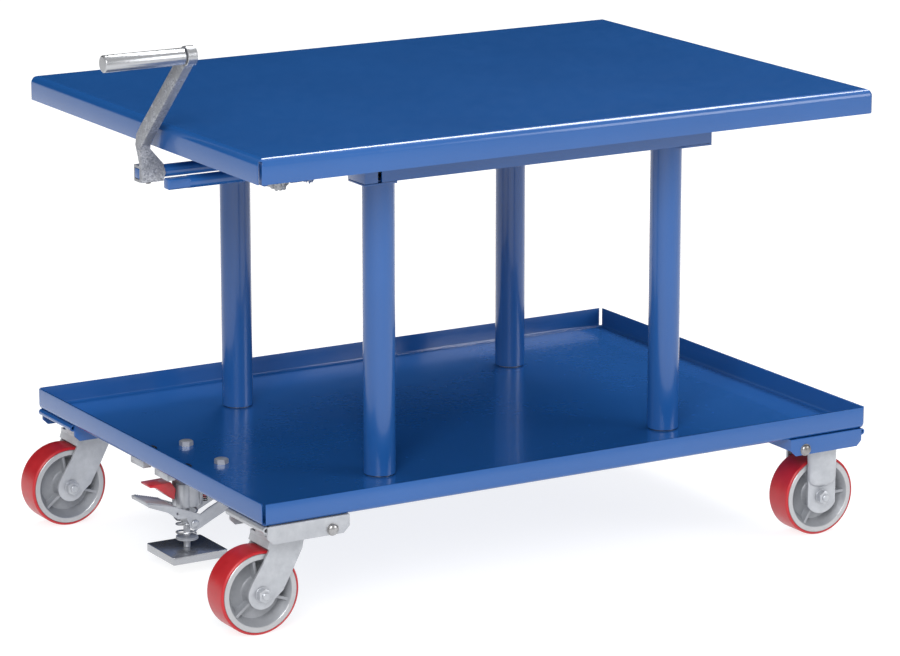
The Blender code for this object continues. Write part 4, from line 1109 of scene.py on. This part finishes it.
def wheel_core():
    """Cast centre: rim, deep conical dish, three ribs a side and the hub."""
    half = WHEEL_HALF
    side = [(0.0064, half + 0.0006), (0.0118, half + 0.0006), (0.0126, half), (0.0176, half - 0.001),
            (0.0192, half - 0.006), (0.0206, half - 0.015), (0.023, half - 0.0182), (0.0412, half - 0.0182),
            (0.0498, half - 0.0024), (0.0507, half - 0.0014), (0.0589, half - 0.0014)]
    core = turned(side + [(r, -y) for r, y in side[::-1]], "Y", 96)
    high, low = half - 0.002, half - 0.019
    outline = [(0.015, low), (0.051, low), (0.0492, half - 0.0044), (0.044, half - 0.0052),
               (0.026, half - 0.0046), (0.0185, high), (0.015, high)]
    rib = prism(outline, -0.0022, 0.0022, "Z")
    for i in range(3):
        core = united(core, turned_by(rib.copy(), 120 * i, "Y"), turned_by(mirrored(rib, -1), 120 * i, "Y"))
    return core


def wheel_rim():
    """The machined rings on both faces of the core."""
    face = WHEEL_HALF
    ring = turned([(0.0509, face - 0.0016), (0.0587, face - 0.0016), (0.0587, face - 0.0008),
                   (0.0582, face - 0.0004), (0.0514, face - 0.0004), (0.0509, face - 0.0008)], "Y", 96)
    return joined([ring, mirrored(ring, -1)])


def axle_parts():
    """Hex bolt, washers, nut and the bolt's bare end, across the fork."""
    outer = FORK_INNER + FORK_SHEET + 0.0003
    washer = 0.0014
    return [hexagon(NUT_ACROSS, outer + washer, outer + 0.008, "Y", crowned=0.001),
            hexagon(NUT_ACROSS, -outer - washer, -outer - 0.01, "Y", crowned=0.001),
            rod(0.0058, -outer - 0.013, outer + 0.002, "Y", 40, 0.0008),
            tube(0.012, 0.006, outer, outer + washer, "Y", edge=0.0003),
            tube(0.012, 0.006, -outer - washer, -outer, "Y", edge=0.0003)]


def make_caster_plate(corner, sx, y, finish, worn):
    """The plate, its rolled edge and the two domed bolts of one caster."""
    turn = 180 if sx < 0 else 0
    plate = moved(turned_by(caster_plate(sx < 0), turn, "Z"), 0.0, y)
    place("caster_plate_pressed_" + corner, plate, finish, "chassis", "caster_plate_" + corner, 0.0006)
    edge = moved(turned_by(rolled_edge(), turn, "Z"), 0.0, y)
    place("caster_edge_pressed_" + corner, edge, finish, "chassis")
    bolts = [moved(turned_by(dome_bolt(side), turn, "Z"), 0.0, y) for side in (-1, 1)]
    place("plate_lock_bolts_" + corner, bolts, worn, "chassis", sharp=60)


def make_kingpin(corner, y, zinc):
    """A swivel caster's kingpin and its nut under the crown."""
    top = PLATE_HIGH.z - 0.0006
    pin = turned([(0.0, 0.133), (0.005, 0.133), (0.0055, 0.1335), (0.0055, 0.1402), (0.0077, 0.1402),
                  (0.0077, top), (0.0, top)])
    nut = hexagon(NUT_ACROSS, 0.1399, 0.1345, crowned=0.001)
    place("kingpin_" + corner, [moved(part, KING_X, y) for part in (pin, nut)], zinc,
          "swivel_" + corner)


def make_casters(paint, zinc, poly, core_finish, rim_finish, worn):
    """Two swivel casters at the crank end, two rigid ones at the other; the near left plate is bare zinc."""
    tread, core, rim = wheel_tread(), wheel_core(), wheel_rim()
    swivel, rigid = swivel_fork(), rigid_fork()
    for corner, sx, sy in CORNERS:
        y = sy * CASTER_Y
        finish, slot = (zinc, "zinc_plate") if corner == "near_left" else (paint, "blue_paint")
        make_caster_plate(corner, sx, y, finish, worn)
        body, fork_x, axle_x, fork, spin = "chassis", RIGID_X, RIGID_X, rigid, 0
        if sx < 0:
            body, fork_x, axle_x, fork, spin = "swivel_" + corner, KING_X, SWIVEL_AXLE_X, swivel, 20
            make_kingpin(corner, y, zinc)
        place("fork_pressed_" + corner, moved(fork.copy(), fork_x, y), zinc, body,
              "caster_fork_" + corner, 0.001, 3)
        centre = (axle_x, y, WHEEL_RADIUS)
        axle = [moved(part, *centre) for part in axle_parts()]
        place("axle_bolt_" + corner, axle, zinc, body, "axle_" + corner)
        roller = "roller_" + corner
        place("wheel_tread_" + corner, moved(tread.copy(), *centre), poly, roller,
              "wheel_" + corner)
        turned_core = moved(turned_by(core.copy(), spin, "Y"), *centre)
        place("wheel_core_" + corner, turned_core, core_finish, roller, bevel=0.0004)
        place("wheel_rim_" + corner, moved(rim.copy(), *centre), rim_finish, roller)


# ---------------------------------------------------------------- floor lock
def make_lock_body(zinc, dark):
    """The mounting plate under the deck, the barrel and the parts fixed beside it."""
    plate_high = span("floor_lock_body")[1].z
    plate_low = plate_high - 0.004
    plate = box((-0.05, 0.086), (-0.073, 0.073), (plate_low, plate_high))
    anchor = [(0.056, plate_low + 0.001), (0.06, 0.106), (0.072, 0.1), (0.083, 0.106),
              (0.086, plate_low + 0.001)]
    for side, cheek in zip((-1, 1), side_plates(anchor, 0.019, 0.0225)):
        ear = box((-0.062, -0.049), sorted((side * 0.019, side * 0.062)), (0.162, plate_high))
        plate = united(plate, ear, cheek)
    place("lock_mount_plate", moved(plate, LOCK_X), zinc, "chassis", "floor_lock_body", 0.0006)

    r, bottom = BARREL_RADIUS, BARREL_BOTTOM
    barrel = turned([(0.0064, bottom), (r - 0.003, bottom), (r - 0.0008, bottom + 0.0008),
                     (r, bottom + 0.003), (r, plate_low - 0.006), (r + 0.0015, plate_low - 0.002),
                     (r + 0.004, plate_low + 0.0005), (0.0064, plate_low + 0.0005)], steps=72)
    place("lock_barrel", moved(barrel, LOCK_X), zinc, "chassis")
    boss = turned([(0.0, bottom + 0.0015), (0.01, bottom + 0.0015), (0.0104, bottom + 0.0025),
                   (0.0104, 0.137), (0.0098, 0.1392), (0.008, 0.1402), (0.0, 0.1402)], steps=48)
    place("lock_boss", moved(boss, LOCK_X - 0.0125, -0.0135), zinc, "chassis")
    strip = box((0.014, 0.0205), (-0.015, -0.0135), (bottom + 0.002, plate_low + 0.001))
    place("latch_strip", moved(strip, LOCK_X), zinc, "chassis", bevel=0.0003)
    pin = moved(rod(0.004, -0.031, 0.031, "Y", 32, 0.0008), ANCHOR_X, 0.0, ANCHOR_Z)
    stub = moved(rod(0.003, 0.01, 0.0248, "Y", 24, 0.0004), RELEASE_X, 0.0, RELEASE_Z)
    place("lock_pins", [pin, stub], zinc, "chassis")
    nuts = []
    for x in LOCK_BOLTS_X:
        for y in (-LOCK_BOLTS_Y, LOCK_BOLTS_Y):
            nuts.append(moved(hexagon(NUT_ACROSS, plate_low, plate_low - 0.008, crowned=0.001), x, y))
            nuts.append(moved(rod(0.006, plate_low - 0.01, plate_low, steps=24, edge=0.0006), x, y))
    place("lock_mount_nuts", nuts, dark, "chassis")
    coil = moved(helix(0.0032, 0.106, 0.156, 14, 0.0007, 16, 6), LOCK_X + 0.0252, -0.013)
    place("latch_spring", coil, dark, "chassis")


def make_plunger(zinc, steel):
    """The floor pad, the stem with its yoke and pin, the washers and the spring."""
    width = PAD_HIGH.x - PAD_LOW.x
    pad = prism(rounded_rectangle(width, width, 0.003, 5), PAD_LOW.z, PAD_HIGH.z)
    place("floor_pad", moved(pad, LOCK_X), steel, "plunger", "lock_pad", 0.0007)
    r = 0.0053
    stem = turned([(0.0, PAD_HIGH.z + 0.0002), (r, PAD_HIGH.z + 0.0002), (r, 0.1375), (r - 0.0005, 0.138),
                   (0.0, 0.138)], steps=48)
    yoke = turned([(r, 0.0716), (0.0088, 0.0716), (0.0092, 0.0722), (0.0092, 0.0835), (0.0086, 0.0842),
                   (r, 0.0842)], steps=48)
    pin = moved(rod(0.004, -0.0295, 0.0295, "Y", 32), 0.0, 0.0, PIN_Z)
    parts = [stem, yoke, pin]
    for side in (-1, 1):
        face = side * 0.0286
        profile = [(0.0, face), (0.0062, face), (0.0062, face + side * 0.0008), (0.005, face + side * 0.0019),
                   (0.0022, face + side * 0.0024), (0.0, face + side * 0.0024)]
        parts.append(moved(turned(profile, "Y", 40), 0.0, 0.0, PIN_Z))
    place("plunger_stem", [moved(part, LOCK_X) for part in parts], zinc, "plunger",
          "lock_plunger")
    washers = [tube(0.0172, r, 0.0475, 0.0497, edge=0.0005), tube(0.0168, r, 0.0499, 0.0517, edge=0.0005)]
    place("plunger_washers", [moved(washer, LOCK_X) for washer in washers], zinc, "plunger")
    spring = moved(helix(0.0162, 0.0536, 0.0985, 3.6, 0.0014, 40, 10), LOCK_X)
    place("plunger_spring", spring, steel, "plunger", "lock_spring")


def make_foot_lever(zinc):
    """Two V-shaped cheeks with the tread between them; the tread's top is cut into teeth."""
    away = Vector((ANCHOR_X - LOCK_X, ANCHOR_Z - PIN_Z))
    reach = away.length
    along = away.normalized()
    across = Vector((-along.y, along.x))

    def at(distance, offset):
        point = along * distance + across * offset
        return (point.x, point.y)

    inner, outer = 0.0253, 0.0283
    cheek = [(-0.0785, 0.0415), (-0.077, 0.0365), (-0.0455, 0.024), (-0.028, 0.011), (-0.014, 0.011),
             (-0.008, -0.004), (-0.004, -0.0085), (0.002, -0.01), (0.009, -0.008)]
    cheek += [at(0.03, -0.01), at(reach + 0.018, -0.0095), at(reach + 0.023, -0.005),
              at(reach + 0.023, 0.005), at(reach + 0.018, 0.0095), at(0.03, 0.01)]
    cheek += [(0.01, 0.0135), (-0.01, 0.0215), (-0.034, 0.031)]
    slot = [at(reach - 0.0055, -0.0052), at(reach + 0.0175, -0.0052), at(reach + 0.0175, 0.0052),
            at(reach - 0.0055, 0.0052)]
    hole = moved(rod(0.0022, -0.05, 0.05, "Y", 24), -0.029, 0.0, 0.02)
    tread = [(-0.079, 0.0425), (-0.078, 0.0375), (-0.03, 0.0262), (-0.0292, 0.0295), (-0.0345, 0.0318)]
    lever = prism(tread, -outer, outer, "Y")
    for plate in side_plates(cheek, inner, outer):
        lever = united(lever, cut(plate, prism(slot, -0.05, 0.05, "Y")))
    lever = cut(lever, rod(0.0044, -0.05, 0.05, "Y", 32), hole)
    teeth = prism(tread_teeth(), -0.0262, 0.0262, "Y")
    place("foot_lever", moved(lever, LOCK_X, 0.0, PIN_Z), zinc, "lock_lever",
          "lock_pedal", 0.0006)
    place("foot_lever_teeth", moved(teeth, LOCK_X, 0.0, PIN_Z), zinc, "lock_lever", bevel=0.0002)


def tread_teeth():
    """The saw-toothed top of the foot lever's tread, about the lever's pin."""
    front, front_z = -0.0345, 0.0322
    rear, rear_z = -0.076, 0.0436
    pitch, valley, rise = 0.0037, 0.0018, 0.0008
    slope = (rear_z - front_z) / (front - rear)
    teeth = [(front, 0.03), (front, front_z)]
    for i in range(11):
        x = front - i * pitch
        z = front_z + (front - x) * slope
        teeth += [(x - valley, z + 2 * rise), (x - pitch, z + rise)]
    return teeth + [(-0.0782, rear_z), (-0.0782, 0.0415)]


def make_release_lever(red):
    """Wedge tread, its root and the single cheek on the far side of the barrel."""
    tread = [(-0.085, 0.0255), (-0.084, 0.0225), (-0.074, 0.0212), (-0.048, 0.0005), (-0.0436, -0.001),
             (-0.0412, 0.0145), (-0.049, 0.0262)]
    root = [(-0.056, 0.015), (-0.054, 0.006), (-0.045, 0.001), (-0.043, 0.012)]
    cheek = [(-0.055, 0.006), (0.0, -0.007), (0.028, -0.019), (0.031, -0.015), (0.006, 0.006),
             (-0.055, 0.0145)]
    arm = cut(prism(cheek, 0.0222, 0.0246, "Y"), rod(0.0034, 0.02, 0.03, "Y", 32))
    lever = united(prism(tread, -0.015, 0.015, "Y"), prism(root, 0.014, 0.023, "Y"), arm)
    place("release_lever_cast", moved(lever, RELEASE_X, 0.0, RELEASE_Z), red, "release_lever",
          "release_pedal", 0.0008)


# ---------------------------------------------------------------- studio
def studio_world():
    """Soft surroundings: pale in front and overhead, dark low on the far side, which the tabletop mirrors."""
    world = bpy.data.worlds.new("studio")
    world.use_nodes = True
    tree = world.node_tree
    facing = along(tree, add_node(tree, "TexCoord").outputs["Generated"], (-0.45, -0.75, 0.7))
    strength = add_node(tree, "MapRange", Value=facing, From_Min=-0.25, From_Max=0.25, To_Min=0.0,
                        To_Max=0.55)
    background = tree.nodes["Background"].inputs
    background["Color"].default_value = (1.0, 1.0, 1.0, 1.0)
    tree.links.new(strength.outputs["Result"], background["Strength"])
    return world


def make_studio():
    """Floor, surroundings, three soft lamps and the camera."""
    bm = bmesh.new()
    half = FLOOR_SIZE / 2
    corners = ((-half, -half, 0), (half, -half, 0), (half, half, 0), (-half, half, 0))
    bm.faces.new([bm.verts.new(corner) for corner in corners])
    floor = bpy.data.objects.new("studio_floor", finish_mesh(bm))
    bpy.context.scene.collection.objects.link(floor)
    floor.data.materials.append(studio_floor())

    bpy.context.scene.world = studio_world()
    target = Vector((0.0, 0.0, LAMP_AIM_HEIGHT))
    for name, place_at, size_x, size_y, power in (("key", (-4.2, -5.5, 4.6), 3.5, 3.5, 480.0),
                                                  ("fill", (4.5, -5.0, 2.6), 3.0, 3.0, 130.0),
                                                  ("overhead", (2.8, 1.6, 5.0), 4.0, 1.4, 260.0)):
        light = bpy.data.lights.new(name, "AREA")
        light.shape = "RECTANGLE"
        light.size = size_x
        light.size_y = size_y
        light.energy = power
        lamp = bpy.data.objects.new(name, light)
        bpy.context.scene.collection.objects.link(lamp)
        lamp.location = place_at
        lamp.rotation_euler = (target - lamp.location).to_track_quat("-Z", "Y").to_euler()

    camera_data = bpy.data.cameras.new("camera")
    camera_data.lens = CAMERA_LENS
    camera_data.sensor_width = 36.0
    camera_data.clip_end = 200.0
    camera = bpy.data.objects.new("camera", camera_data)
    bpy.context.scene.collection.objects.link(camera)
    camera.location = MIDDLE + Vector(CAMERA_AT)
    aim = MIDDLE + Vector(CAMERA_AIM)
    camera.rotation_euler = (aim - camera.location).to_track_quat("-Z", "Y").to_euler()
    bpy.context.scene.camera = camera
    bpy.context.scene.view_settings.view_transform = "Standard"


# ---------------------------------------------------------------- everything
def build():
    """Every material once, then every piece and the studio."""
    paint = blue_enamel()
    zinc = zinc_plate()
    steel = bright_steel()
    cast = galvanised()
    greased = oiled_steel()
    brass = bronze()
    poly = red_polyurethane()
    core = cast_core()
    rim = machined_rim()
    red = red_enamel()
    dark = black_oxide_and_painted_shade()
    make_tabletop(paint)
    make_deck(paint, zinc, dark)
    make_side_rails(paint)
    make_cross_members(paint)
    make_posts(paint, greased, zinc, brass)
    make_input_drive(paint, greased, zinc)
    make_bracket(paint, zinc)
    make_crank(cast, steel, dark)
    make_casters(paint, zinc, poly, core, rim, greased)
    make_lock_body(zinc, dark)
    make_plunger(zinc, steel)
    make_foot_lever(zinc)
    make_release_lever(red)
    make_studio()


build()
